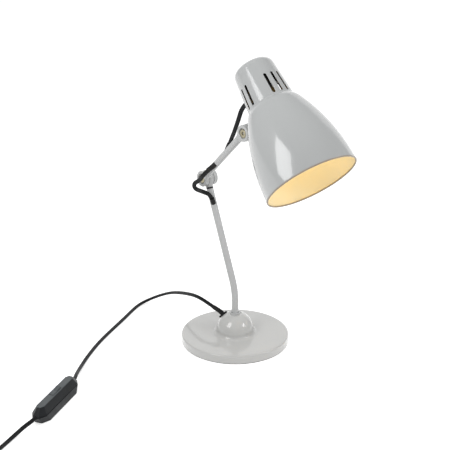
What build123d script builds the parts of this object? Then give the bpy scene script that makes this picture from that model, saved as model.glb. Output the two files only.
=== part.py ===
from build123d import *
import os
from math import atan2, cos, degrees, pi, radians, sin, sqrt, tan

import numpy as np

# Articulated desk lamp in enamelled steel, in millimetres. +Z is up and the origin is the
# centre of the base's underside. The two arms fold in the XZ plane, the shade points to +X,
# and -Y is the side that the pivot screws are on. All pieces are at the pose it stands in.

# Base: a pressed cover over a cast weight, on a felt pad
BASE_RADIUS = 80.0
BASE_TOP = 13.25
BASE_EDGE_ROUND = 2.4
SHEET_BASE = 1.2
SKIRT_BOTTOM = 0.6
PAD_THICKNESS = 1.0
DOME_RADIUS = 28.4
DOME_CENTRE_Z = 16.8
DOME_TOP = 43.0
DOME_FLARE = 6.0
DOME_TOP_ROUND = 1.6
FIT_GAP = 0.05

# Swivel bush under the dome, with the ring nut that clamps the cover
BUSH_RADIUS = 8.6
BUSH_FLANGE_RADIUS = 17.0
BUSH_FLANGE_THICKNESS = 2.2
BUSH_SPIGOT_RADIUS = 6.2
BUSH_SPIGOT_HEIGHT = 2.0
BUSH_CHAMBER = 8.0
COLLAR_RADIUS = 7.3
COLLAR_HEIGHT = 2.8
COLLAR_LIP = 0.8
GRUB_RADIUS = 1.5
GRUB_HEIGHT = 33.0
GRUB_GROOVE_DEPTH = 0.5
FLANGE_SCREW_RADIUS = 1.9
FLANGE_SCREW_CIRCLE = 12.9
FLANGE_SCREW_LENGTH = 9.0
FLANGE_SCREW_HEAD_RADIUS = 3.2
FLANGE_SCREW_HEAD_HEIGHT = 2.0

# Arms
TUBE_RADIUS = 5.0
TUBE_WALL = 1.0
BEND_Z = 79.5
BEND_RADIUS = 84.0
LOWER_LEAN = -22.82
LOWER_LENGTH = 172.5
UPPER_LEAN = 47.04
UPPER_LENGTH = 129.6

# Friction joints at both ends of the upper arm
HUB_RADIUS = 11.8
HUB_THICKNESS = 6.4
HUB_EDGE = 1.2
HUB_RECESS_RADIUS = 7.6
HUB_RECESS_DEPTH = 2.6
TONGUE_THICKNESS = 7.5
WASHER_THICKNESS = 0.7
WASHER_RADIUS = 10.4
JOINT_PLAY = 0.15
PIVOT_RADIUS = 2.95
PIVOT_HEAD_RADIUS = 6.7
PIVOT_HEAD_THICKNESS = 2.2
PIVOT_END_DEPTH = 4.9
NECK_START = 12.4
NECK_END = 14.6
BAND_LENGTH = 2.0
SPIGOT_LENGTH = 12.0

# Shade, its axis given from the head pivot
SHADE_LEAN = -43.47
AXIS_OFFSET = 67.3
MOUTH_DROP = 117.5
SHEET_SHADE = 0.8
MOUTH_RADIUS = 64.4
SHOULDER_S = 110.0
SHOULDER_RADIUS = 39.4
NECK_S = 118.8
NECK_RADIUS = 32.9
CAP_S = 178.6
CAP_RADIUS = 27.7
CROWN_RISE = 4.6
CAP_ROUND = 10.5
NECK_FILLET = 4.0
RIM_RADIUS = 1.1
VENT_WIDTH = 2.8
VENT_LENGTH = 31.0
VENT_MID_S = 137.0
VENT_ANGLES = (-22.5, 0.0, 22.5, 90.0, 112.5, 135.0, -90.0, -112.5, -135.0)

# Bracket from the head pivot to the shade
FOOT_THICKNESS = 2.2
FOOT_HALF_WIDTH = 10.0
FOOT_LOW_S = 95.0
FOOT_HIGH_S = 116.5
FOOT_SCREW_S = 106.0
FOOT_SCREW_ANGLE = 10.0
FOOT_SCREW_RADIUS = 1.45
FOOT_SCREW_HEAD_RADIUS = 2.5
FOOT_SCREW_HEAD_HEIGHT = 1.5
FOOT_NUT_RADIUS = 2.9
FOOT_NUT_HEIGHT = 2.0

# Lampholder and bulb on the shade's axis
NIPPLE_RADIUS = 4.9
NIPPLE_BORE = 3.4
HOLDER_RADIUS = 18.0
HOLDER_LENGTH = 44.0
HOLDER_DOME = 7.0
HOLDER_WALL = 3.2
HOLDER_RING_RADIUS = 21.0
HOLDER_RING_HEIGHT = 9.0
CAP_NUT_RADIUS = 5.6
CAP_NUT_HEIGHT = 3.6
BULB_CAP_RADIUS = 13.2
BULB_CAP_LENGTH = 25.0
BULB_RADIUS = 27.5
BULB_NECK_RADIUS = 14.4
BULB_LENGTH = 76.0
BULB_FILLET = 26.0
GLASS_WALL = 0.8

# Cables: a flat two-core flex, drawn as its round envelope
LEAD_DIAMETER = 5.9
LINK_DIAMETER = 5.0
INNER_DIAMETER = 4.6
FLEX_OVERLAP = 5.0
SLEEVE_ROOT_RADIUS = 3.7
SLEEVE_TIP_RADIUS = 3.2
LOWER_SLEEVE_AT = 40.0
LOWER_SLEEVE_TURN = 40.0
LOWER_SLEEVE_SPLAY = 41.0
LOWER_SLEEVE_LENGTH = 11.8
UPPER_SLEEVE_AT = 47.0
UPPER_SLEEVE_TURN = 76.0
UPPER_SLEEVE_SPLAY = 37.4
UPPER_SLEEVE_LENGTH = 17.2
BACK_SLEEVE_AT = 54.0
BACK_SLEEVE_TURN = 200.0
BACK_SLEEVE_SPLAY = 30.0
BACK_SLEEVE_LENGTH = 14.0
NECK_BUSHING_S = 148.0
NECK_BUSHING_RADIUS = 4.2
NECK_BUSHING_FLANGE = 5.8
NECK_BUSHING_STANDOFF = 2.2
NECK_BUSHING_TILT = 8.0

# Mains lead's bushing on the dome, at the azimuth and height of its normal
BUSHING_AZIMUTH = 204.0
BUSHING_ELEVATION = 45.0
BUSHING_FLANGE_RADIUS = 7.1
BUSHING_FLANGE_HEIGHT = 1.7
BUSHING_BARREL_RADIUS = 4.8
BUSHING_LIP = 0.7
RELIEF_ROOT_RADIUS = 4.6
RELIEF_TIP_RADIUS = 3.4
RELIEF_TIP = (-34.5, -13.5, 44.6)

# The lead's route: off the dome in one low arch, then along the table to the switch
FLOOR_Z = LEAD_DIAMETER / 2 + 0.05
LEAD_POINTS = (
    (-53.0, -15.4, 48.4),
    (-76.0, -15.6, 49.0),
    (-104.0, -12.0, 42.0),
    (-131.0, -8.6, 33.4),
    (-158.0, -7.0, 23.6),
    (-178.5, -13.0, 13.6),
    (-189.0, -28.0, 7.0),
    (-190.0, -45.0, 3.9),
    (-181.5, -63.0, FLOOR_Z),
    (-158.0, -99.0, FLOOR_Z),
    (-134.5, -137.5, FLOOR_Z),
    (-111.5, -172.5, FLOOR_Z),
    (-84.0, -207.0, FLOOR_Z),
    (-60.5, -233.0, 3.2),
    (-43.5, -246.0, 6.0),
)
SWITCH_LEAD_POINTS = (
    (39.6, -370.5, 7.8),
    (43.6, -384.0, 4.4),
    (50.5, -398.5, FLOOR_Z),
    (60.0, -415.5, 3.2),
)

# Inline switch
SWITCH_FAR = (-23.0, -262.9)
SWITCH_NEAR = (34.8, -352.1)
SWITCH_PART_Z = 11.0
SWITCH_TOP_Z = 21.5
SWITCH_WIDE_Z = 2.0
SWITCH_WALL = 1.8
SWITCH_HALF_WIDTH = 10.8
SWITCH_TOP_HALF_WIDTH = 5.2
SWITCH_BASE_HALF_WIDTH = 12.3
SWITCH_END_TAPER = 10.0
SWITCH_NOSE_HALF_WIDTH = 4.6
SWITCH_TOP_INSET = 9.5
SWITCH_BASE_INSET = 5.5
SWITCH_FOOT_INSET = 1.2
SWITCH_CORD_DEPTH = 6.0
ROCKER_LENGTH = 20.0
ROCKER_WIDTH = 6.0
ROCKER_HEIGHT = 7.2
ROCKER_PROUD = 0.6
ROCKER_TILT = 7.0
ROCKER_GAP = 0.45
ROCKER_END_GAP = 0.95
ROCKER_PIN_RADIUS = 1.0
ROCKER_PIN_DROP = 4.4
SWITCH_BOSS_AT = 33.0
SWITCH_BOSS_RADIUS = 3.0
SWITCH_SCREW_RADIUS = 1.2
CONTACT_SIZE = (12.0, 3.0, 5.0)
CONTACT_AT = 22.0

# Coil of the spare lead, in two layers, with its tie, and the plug beside it
COIL_CENTRE = (40.5, -460.0)
COIL_START = 27.0
COIL_RADIUS = 38.0
COIL_PITCH = 6.6
COIL_HALF_TURNS = 5
COIL_Z = 4.0
TIE_WIDTH = 8.0
TIE_THICKNESS = 0.8
TIE_GAP = 0.1
TIE_ANGLE = 290.0
TAIL_STRAIGHT = 17.6
TAIL_END = (-10.5, -442.5)
PLUG_LENGTH = 36.0
PLUG_WIDTH = 35.0
PLUG_HEIGHT = 13.7
PLUG_NOSE_WIDTH = 10.5
PLUG_NOSE_HEIGHT = 9.0
PLUG_HEADING = 121.0
PIN_RADIUS = 2.0
PIN_LENGTH = 19.0
PIN_SPACING = 18.6


# Places worked out from the sizes above
def arm_frame(origin, lean):
    """Frame whose z leans from vertical towards +X by an angle and whose y is the row's +Y."""
    a = radians(lean)
    return Plane(origin=origin, x_dir=(cos(a), 0, -sin(a)), z_dir=(sin(a), 0, cos(a)))


BEND_POINT = Vector(0, 0, BEND_Z)
LOWER_DIR = Vector(sin(radians(LOWER_LEAN)), 0, cos(radians(LOWER_LEAN)))
UPPER_DIR = Vector(sin(radians(UPPER_LEAN)), 0, cos(radians(UPPER_LEAN)))
ELBOW = BEND_POINT + LOWER_DIR * LOWER_LENGTH
HEAD = ELBOW + UPPER_DIR * UPPER_LENGTH
LOWER = arm_frame(ELBOW, LOWER_LEAN)
UPPER = arm_frame(ELBOW, UPPER_LEAN)
SHADE = arm_frame(HEAD, SHADE_LEAN)

INNER_LAY = TUBE_RADIUS - TUBE_WALL - INNER_DIAMETER / 2 - 0.3
WEIGHT_TOP = BASE_TOP - SHEET_BASE - FIT_GAP
CHAMBER_TOP = WEIGHT_TOP + BUSH_FLANGE_THICKNESS + BUSH_CHAMBER
TUBE_BOTTOM = CHAMBER_TOP + 0.3
TUBE_TOP = NECK_END + BAND_LENGTH
HUB_FACE = TONGUE_THICKNESS / 2 + JOINT_PLAY + WASHER_THICKNESS
TUBE_OFFSET = -(HUB_FACE + HUB_THICKNESS / 2)
DOME_CENTRE = Vector(0, 0, DOME_CENTRE_Z)
BUSHING_NORMAL = Vector(
    cos(radians(BUSHING_ELEVATION)) * cos(radians(BUSHING_AZIMUTH)),
    cos(radians(BUSHING_ELEVATION)) * sin(radians(BUSHING_AZIMUTH)),
    sin(radians(BUSHING_ELEVATION)),
)
BUSHING_AT = DOME_CENTRE + BUSHING_NORMAL * DOME_RADIUS
CROWN_S = CAP_S + CROWN_RISE
CROWN_INSIDE = CROWN_S - SHEET_SHADE
BELL_ARC = ((MOUTH_RADIUS - SHOULDER_RADIUS) ** 2 + SHOULDER_S**2) / (2 * (MOUTH_RADIUS - SHOULDER_RADIUS))
BELL_CENTRE = MOUTH_RADIUS - BELL_ARC


def bell_radius(s):
    """Outside radius of the shade's bell at a distance from its mouth."""
    return BELL_CENTRE + sqrt(BELL_ARC**2 - s**2)


def neck_radius(s):
    """Outside radius of the shade's neck at a distance from its mouth."""
    return NECK_RADIUS + (CAP_RADIUS - NECK_RADIUS) * (s - NECK_S) / (CAP_S - NECK_S)


def along(frame, distance, turn, out):
    """Point beside a tube's axis, at a distance along it and an angle about it from +x to -y."""
    a = radians(turn)
    return frame.from_local_coords(Vector(out * cos(a), -out * sin(a), distance))


def rod(start, end, radius, end_radius=None):
    """Cylinder, or cone, from one point to another."""
    start, end = Vector(start), Vector(end)
    place = Plane(origin=start, z_dir=end - start)
    length = (end - start).length
    if end_radius is None:
        return place * Cylinder(radius, length, align=(Align.CENTER, Align.CENTER, Align.MIN))
    return place * Cone(radius, end_radius, length, align=(Align.CENTER, Align.CENTER, Align.MIN))


def y_disc(radius, low, high):
    """Disc about the local y axis between two values of y."""
    return rod((0, low, 0), (0, high, 0), radius)


def right_half(face):
    """The part of a profile on the +x side of its axis."""
    reach = 400
    return face & (Pos(reach / 2, 0) * Rectangle(reach, 2 * reach))


def revolved(face):
    """Solid turned from a profile drawn as radius across and height up."""
    return revolve(Plane.XZ * face, Axis.Z)


def vertices_near(face, x, y, reach=0.6):
    """Vertices of a profile near a point and near its mirror image."""
    return [v for v in face.vertices() if abs(abs(v.X) - x) < reach and abs(v.Y - y) < reach]


def base_profile(bottom):
    """Outline of disc and dome, with its flare and rounded edges, down to a given height."""
    disc = Pos(0, (BASE_TOP + bottom) / 2) * Rectangle(2 * BASE_RADIUS, BASE_TOP - bottom)
    ball = Pos(0, DOME_CENTRE_Z) * Circle(DOME_RADIUS)
    slab_height = DOME_TOP - bottom
    slab = Pos(0, (DOME_TOP + bottom) / 2) * Rectangle(2 * BASE_RADIUS, slab_height)
    face = disc + (ball & slab)
    foot = sqrt(DOME_RADIUS**2 - (BASE_TOP - DOME_CENTRE_Z) ** 2)
    top = sqrt(DOME_RADIUS**2 - (DOME_TOP - DOME_CENTRE_Z) ** 2)
    face = fillet(vertices_near(face, foot, BASE_TOP), DOME_FLARE)
    face = fillet(vertices_near(face, top, DOME_TOP), DOME_TOP_ROUND)
    return fillet(vertices_near(face, BASE_RADIUS, BASE_TOP), BASE_EDGE_ROUND)


def make_base():
    """Cover, weight, pad, swivel bush, ring nut and their screws."""
    outside = base_profile(SKIRT_BOTTOM)
    inside = offset(base_profile(SKIRT_BOTTOM - 3 * SHEET_BASE), -SHEET_BASE)
    cover = revolved(right_half(outside) - right_half(inside))
    cover -= Pos(0, 0, DOME_TOP) * Cylinder(BUSH_SPIGOT_RADIUS + FIT_GAP, 4 * SHEET_BASE)
    cover -= rod(DOME_CENTRE, BUSHING_AT + BUSHING_NORMAL, BUSHING_BARREL_RADIUS + FIT_GAP)
    inner_radius = BASE_RADIUS - SHEET_BASE
    pad = Pos(0, 0, PAD_THICKNESS / 2) * Cylinder(inner_radius - 0.4, PAD_THICKNESS)
    weight = Pos(0, 0, (WEIGHT_TOP + PAD_THICKNESS) / 2) * Cylinder(
        inner_radius - 0.3, WEIGHT_TOP - PAD_THICKNESS
    )
    weight = chamfer(weight.edges().group_by(Axis.Z)[-1], BASE_EDGE_ROUND)
    flange_top = WEIGHT_TOP + BUSH_FLANGE_THICKNESS
    shoulder = DOME_TOP - SHEET_BASE - FIT_GAP
    spigot_top = DOME_TOP + BUSH_SPIGOT_HEIGHT
    bush = rod((0, 0, WEIGHT_TOP), (0, 0, flange_top), BUSH_FLANGE_RADIUS)
    bush += rod((0, 0, flange_top), (0, 0, shoulder), BUSH_RADIUS)
    bush += rod((0, 0, shoulder), (0, 0, spigot_top), BUSH_SPIGOT_RADIUS)
    bush -= rod((0, 0, flange_top), (0, 0, CHAMBER_TOP), TUBE_RADIUS - TUBE_WALL)
    bush -= rod((0, 0, CHAMBER_TOP), (0, 0, spigot_top), TUBE_RADIUS + FIT_GAP)
    window_height = INNER_DIAMETER + 1.2
    window = Box(
        BUSH_RADIUS + 2, INNER_DIAMETER + 0.8, window_height, align=(Align.MIN, Align.CENTER, Align.MIN)
    )
    bush -= Pos(0, 0, flange_top) * Rot(0, 0, BUSHING_AZIMUTH) * window
    grub_angle = Rot(0, 0, BUSHING_AZIMUTH + 180)
    bush -= grub_angle * rod((0, 0, GRUB_HEIGHT), (BUSH_RADIUS + 1, 0, GRUB_HEIGHT), GRUB_RADIUS + FIT_GAP)
    tip = TUBE_RADIUS - GRUB_GROOVE_DEPTH + 0.25
    grub = grub_angle * rod((tip, 0, GRUB_HEIGHT), (BUSH_RADIUS, 0, GRUB_HEIGHT), GRUB_RADIUS)
    grub -= grub_angle * rod(
        (BUSH_RADIUS - 1.2, 0, GRUB_HEIGHT), (BUSH_RADIUS + 1, 0, GRUB_HEIGHT), GRUB_RADIUS / 2
    )
    collar_top = DOME_TOP + COLLAR_HEIGHT
    lip_bottom = collar_top - COLLAR_LIP
    collar = rod((0, 0, DOME_TOP), (0, 0, collar_top), COLLAR_RADIUS)
    collar = fillet(collar.edges().group_by(Axis.Z)[-1], COLLAR_LIP * 0.9)
    collar -= rod((0, 0, DOME_TOP), (0, 0, lip_bottom), BUSH_SPIGOT_RADIUS + FIT_GAP)
    collar -= rod((0, 0, lip_bottom), (0, 0, collar_top + 1), TUBE_RADIUS + 0.3)
    screws = []
    for turn in (60, 180, 300):
        place = Rot(0, 0, BUSHING_AZIMUTH + turn) * Pos(FLANGE_SCREW_CIRCLE, 0, 0)
        bottom = flange_top - FLANGE_SCREW_LENGTH
        hole = place * rod((0, 0, bottom - 0.5), (0, 0, flange_top + 1), FLANGE_SCREW_RADIUS + FIT_GAP)
        bush -= hole
        weight -= hole
        screw = rod((0, 0, bottom), (0, 0, flange_top), FLANGE_SCREW_RADIUS)
        head_top = flange_top + FLANGE_SCREW_HEAD_HEIGHT
        head = rod((0, 0, flange_top), (0, 0, head_top), FLANGE_SCREW_HEAD_RADIUS)
        head -= Pos(0, 0, head_top) * Box(2 * FLANGE_SCREW_HEAD_RADIUS, 0.9, 1.6)
        screws.append(place * (screw + head))
    return {
        "base_cover": cover,
        "base_weight": weight,
        "base_pad": pad,
        "swivel_bush": bush,
        "swivel_grub_screw": grub,
        "dome_ring_nut": collar,
        "bush_screws": screws,
    }


def flex_path(points, name):
    """Straight runs joined by tangent arcs as large as their runs allow."""
    points = [Vector(p) for p in points]
    radii = []
    for a, b, c in zip(points, points[1:], points[2:]):
        turn = radians((b - a).get_angle(c - b))
        radii.append(0.45 * min((b - a).length, (c - b).length) / tan(turn / 2))
    path = FilletPolyline(*points, radius=radii)
    print(f"{name}: length {path.length:.1f}, least radius {min(radii):.1f}")
    return path


def flex(path, diameter, name):
    """Round tube along a path, its volume set against section times length."""
    section = Plane(origin=path @ 0, z_dir=path % 0) * Circle(diameter / 2)
    solid = sweep(section, path=path)
    share = solid.volume / (pi * diameter**2 / 4 * path.length)
    print(f"{name}: volume over section times length {share:.4f}")
    return solid


class Sleeve:
    """Rubber sleeve that brings a cable out of an arm's tube at a splayed angle."""

    def __init__(self, frame, at, turn, splay, length, up, centre_y=0.0):
        """Places the sleeve's root on the tube's axis and its tip clear of the tube."""
        centre = frame.from_local_coords(Vector(0, centre_y, at))
        side = along(frame, at, turn, 1.0) - frame.from_local_coords(Vector(0, 0, at))
        run = frame.z_dir * up
        self.root = centre + side
        self.axis = run * cos(radians(splay)) + side * sin(radians(splay))
        self.tip = self.root + self.axis * length

    def solid(self):
        """Tapered sleeve with the cable's bore."""
        body = rod(self.root, self.tip, SLEEVE_ROOT_RADIUS, SLEEVE_TIP_RADIUS)
        return body - self.channel(LINK_DIAMETER / 2 + FIT_GAP)

    def channel(self, radius):
        """Rod along the sleeve's whole axis, used to cut its bore."""
        return rod(self.root - self.axis, self.tip + self.axis, radius)

    def hole(self):
        """Cutter for the tube's wall, a clearance larger than the sleeve."""
        grown = SLEEVE_ROOT_RADIUS + FIT_GAP
        return rod(self.root, self.tip, grown, SLEEVE_TIP_RADIUS + FIT_GAP)


LOWER_SLEEVE = Sleeve(
    LOWER, -LOWER_SLEEVE_AT, LOWER_SLEEVE_TURN, LOWER_SLEEVE_SPLAY, LOWER_SLEEVE_LENGTH, 1
)
UPPER_SLEEVE = Sleeve(
    UPPER, UPPER_SLEEVE_AT, UPPER_SLEEVE_TURN, UPPER_SLEEVE_SPLAY, UPPER_SLEEVE_LENGTH, -1, TUBE_OFFSET
)
BACK_SLEEVE = Sleeve(
    UPPER,
    UPPER_LENGTH - BACK_SLEEVE_AT,
    BACK_SLEEVE_TURN,
    BACK_SLEEVE_SPLAY,
    BACK_SLEEVE_LENGTH,
    1,
    TUBE_OFFSET,
)


def joint_neck(low, high, centre_y, outward):
    """Round neck and spigot that carry a hub or tongue in its tube, cut clear of the other discs."""
    start, end = sorted((outward * (HUB_RADIUS - 3), outward * NECK_START))
    web = Pos(0, (low + high) / 2, (start + end) / 2) * Box(2 * TUBE_RADIUS, high - low, end - start)
    round_part = rod((0, centre_y, 0), (0, centre_y, outward * NECK_START), TUBE_RADIUS)
    collar = rod((0, centre_y, outward * NECK_START), (0, centre_y, outward * NECK_END), TUBE_RADIUS)
    spigot_end = TUBE_TOP + SPIGOT_LENGTH
    spigot = rod(
        (0, centre_y, outward * NECK_END),
        (0, centre_y, outward * spigot_end),
        TUBE_RADIUS - TUBE_WALL - FIT_GAP,
    )
    return (web & round_part) + collar + spigot


def front_hub(frame, outward):
    """Screw-side hub of the upper arm: a disc recessed for the pivot screw, with its neck."""
    low, high = -HUB_FACE - HUB_THICKNESS, -HUB_FACE
    disc = y_disc(HUB_RADIUS, low, high)
    disc = fillet(disc.edges().sort_by(Axis.Y)[0], HUB_EDGE)
    disc += joint_neck(low, high, TUBE_OFFSET, outward)
    disc -= y_disc(HUB_RECESS_RADIUS, low - 1, low + HUB_RECESS_DEPTH)
    disc -= y_disc(PIVOT_RADIUS + FIT_GAP, low - 1, high + 1)
    return frame * disc


def tongue(frame, outward):
    """Middle disc of a joint with the neck that goes into its tube."""
    half = TONGUE_THICKNESS / 2
    disc = y_disc(HUB_RADIUS, -half, half) + joint_neck(-half, half, 0, outward)
    return frame * (disc - y_disc(PIVOT_RADIUS + FIT_GAP, -half - 1, half + 1))


def band(frame, centre_y, outward):
    """Black ring between a neck's collar and the end of its tube."""
    inner = TUBE_RADIUS - TUBE_WALL
    ring = rod((0, centre_y, outward * NECK_END), (0, centre_y, outward * TUBE_TOP), TUBE_RADIUS)
    return frame * (ring - rod((0, centre_y, 0), (0, centre_y, outward * 2 * TUBE_TOP), inner))


def pivot(frame):
    """Pivot screw, both friction washers and rear cap nut of one joint."""
    seat = -HUB_FACE - HUB_THICKNESS + HUB_RECESS_DEPTH
    face = seat - PIVOT_HEAD_THICKNESS
    screw = y_disc(PIVOT_HEAD_RADIUS, face, seat)
    screw = fillet(screw.edges().sort_by(Axis.Y)[0], PIVOT_HEAD_THICKNESS * 0.4)
    screw += y_disc(PIVOT_RADIUS, seat, HUB_FACE + PIVOT_END_DEPTH)
    for turn in (0, 90):
        slot = Box(0.36 * 2 * PIVOT_HEAD_RADIUS, 2 * PIVOT_HEAD_THICKNESS * 0.6, 1.3)
        screw -= Pos(0, face, 0) * Rot(0, turn, 0) * slot
    inner = TONGUE_THICKNESS / 2 + JOINT_PLAY
    bore = y_disc(PIVOT_RADIUS + FIT_GAP, -HUB_FACE - 1, HUB_FACE + 1)
    washers = [frame * (y_disc(WASHER_RADIUS, a, b) - bore) for a, b in ((-HUB_FACE, -inner), (inner, HUB_FACE))]
    nut = y_disc(HUB_RADIUS, HUB_FACE, HUB_FACE + HUB_THICKNESS)
    nut = fillet(nut.edges().sort_by(Axis.Y)[-1], HUB_EDGE)
    nut -= y_disc(PIVOT_RADIUS + FIT_GAP, HUB_FACE - 1, HUB_FACE + PIVOT_END_DEPTH + 0.3)
    return frame * screw, washers, frame * nut


def make_lower_arm():
    """Bent tube from the swivel to the elbow, with its tongue, band, sleeve and inner flex."""
    top = ELBOW - LOWER_DIR * TUBE_TOP
    path = FilletPolyline((0, 0, TUBE_BOTTOM), BEND_POINT, top, radius=BEND_RADIUS)
    section = Pos(0, 0, TUBE_BOTTOM) * (Circle(TUBE_RADIUS) - Circle(TUBE_RADIUS - TUBE_WALL))
    tube = sweep(section, path=path)
    half_groove = GRUB_RADIUS + 0.3
    low, high = (0, 0, GRUB_HEIGHT - half_groove), (0, 0, GRUB_HEIGHT + half_groove)
    groove = rod(low, high, TUBE_RADIUS + 1) - rod(low, high, TUBE_RADIUS - GRUB_GROOVE_DEPTH)
    tube = tube - groove - LOWER_SLEEVE.hole()
    inner_end = ELBOW - LOWER_DIR * (LOWER_SLEEVE_AT + 6) - LOWER.x_dir * INNER_LAY
    inner = FilletPolyline((0, 0, TUBE_BOTTOM + FLEX_OVERLAP + 1), BEND_POINT, inner_end, radius=BEND_RADIUS)
    return {
        "lower_tube": tube,
        "lower_tongue": tongue(LOWER, -1),
        "lower_band": band(LOWER, 0, -1),
        "lower_sleeve": LOWER_SLEEVE.solid(),
        "stem_flex": flex(inner, INNER_DIAMETER, "stem flex"),
    }


def make_upper_arm():
    """Straight tube with a hub at each end, both pivots, bands, sleeves and inner flex."""
    tube = rod((0, TUBE_OFFSET, TUBE_TOP), (0, TUBE_OFFSET, UPPER_LENGTH - TUBE_TOP), TUBE_RADIUS)
    tube -= rod((0, TUBE_OFFSET, 0), (0, TUBE_OFFSET, UPPER_LENGTH), TUBE_RADIUS - TUBE_WALL)
    tube = UPPER * tube - UPPER_SLEEVE.hole() - BACK_SLEEVE.hole()
    far = Plane(origin=HEAD, x_dir=UPPER.x_dir, z_dir=UPPER.z_dir)
    elbow_screw, elbow_washers, elbow_nut = pivot(UPPER)
    head_screw, head_washers, head_nut = pivot(far)
    low, high = UPPER_SLEEVE_AT + 7, UPPER_LENGTH - BACK_SLEEVE_AT - 7
    inner = UPPER * rod((INNER_LAY, TUBE_OFFSET, low), (INNER_LAY, TUBE_OFFSET, high), INNER_DIAMETER / 2)
    return {
        "upper_tube": tube,
        "elbow_hub": front_hub(UPPER, 1),
        "elbow_band": band(UPPER, TUBE_OFFSET, 1),
        "elbow_screw": elbow_screw,
        "elbow_washers": elbow_washers,
        "elbow_cap_nut": elbow_nut,
        "head_hub": front_hub(far, -1),
        "head_band": band(far, TUBE_OFFSET, -1),
        "head_screw": head_screw,
        "head_washers": head_washers,
        "head_cap_nut": head_nut,
        "upper_sleeve": UPPER_SLEEVE.solid(),
        "back_sleeve": BACK_SLEEVE.solid(),
        "arm_flex": inner,
    }


def mitre(point, first, second, grow):
    """Corner of a profile moved out so that both lines that meet there keep their distance."""
    return Vector(*point) + (first + second) * (grow / (1 + first.dot(second)))


def bell_profile(skirt, grow=0.0):
    """Right half of the shade's outline, grown or shrunk, its mouth let down by a skirt."""
    shoulder_angle = atan2(SHOULDER_S, SHOULDER_RADIUS - BELL_CENTRE)
    angles = [shoulder_angle * i / 5 for i in range(6)]
    arc = BELL_ARC + grow
    bell = [(BELL_CENTRE + arc * cos(a), arc * sin(a)) for a in angles]
    bell_normal = Vector(cos(shoulder_angle), sin(shoulder_angle))
    lean_in = Vector(-bell_normal.Y, bell_normal.X)
    chord = Vector(NECK_RADIUS - SHOULDER_RADIUS, NECK_S - SHOULDER_S).normalized()
    turned = chord * (2 * lean_in.dot(chord)) - lean_in
    neck_line = Vector(CAP_RADIUS - NECK_RADIUS, CAP_S - NECK_S).normalized()
    neck_normal = Vector(neck_line.Y, -neck_line.X)
    crown_arc = (CAP_RADIUS**2 + CROWN_RISE**2) / (2 * CROWN_RISE)
    crown_normal = Vector(CAP_RADIUS, crown_arc - CROWN_RISE) / crown_arc
    root = mitre((NECK_RADIUS, NECK_S), Vector(turned.Y, -turned.X), neck_normal, grow)
    cap = mitre((CAP_RADIUS, CAP_S), neck_normal, crown_normal, grow)
    right = (
        Spline(*bell, tangents=[(0, 1), (lean_in.X, lean_in.Y)])
        + TangentArc(bell[-1], (root.X, root.Y), tangent=(lean_in.X, lean_in.Y))
        + Line((root.X, root.Y), (cap.X, cap.Y))
    )
    crown = ThreePointArc((cap.X, cap.Y), (0, CROWN_S + grow), (-cap.X, cap.Y))
    mouth = Line((-bell[0][0], 0), bell[0])
    face = make_face(right + crown + mirror(right, about=Plane.YZ) + mouth)
    if skirt:
        face += Pos(0, -skirt / 2) * Rectangle(2 * bell[0][0], skirt)
    face = fillet(vertices_near(face, cap.X, cap.Y), CAP_ROUND + grow)
    face = fillet(vertices_near(face, root.X, root.Y), NECK_FILLET - grow)
    return right_half(face)


def on_axis(solid):
    """Moves a piece drawn about the shade's axis, from its mouth up, into the lamp."""
    return SHADE * (Pos(AXIS_OFFSET, 0, -MOUTH_DROP) * solid)


def radial(angle, s, radius):
    """Point of the shade, in its own frame, at an angle from the side away from the arm."""
    return Vector(radius * cos(radians(angle)), radius * sin(radians(angle)), s)


def neck_entry(out):
    """Point on the neck bushing's axis, at a distance outside the neck's surface."""
    rise = out * tan(radians(NECK_BUSHING_TILT))
    return radial(180, NECK_BUSHING_S + rise, neck_radius(NECK_BUSHING_S) + out)


def foot_screw_lines():
    """Each foot screw's point on the bell and the bell's outward normal there."""
    r = bell_radius(FOOT_SCREW_S)
    tilt = degrees(atan2(FOOT_SCREW_S, r - BELL_CENTRE))
    lines = []
    for side in (-1, 1):
        angle = 180 + side * FOOT_SCREW_ANGLE
        across = Vector(cos(radians(angle)), sin(radians(angle)), 0)
        normal = across * cos(radians(tilt)) + Vector(0, 0, sin(radians(tilt)))
        lines.append((radial(angle, FOOT_SCREW_S, r), normal))
    return lines


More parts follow.
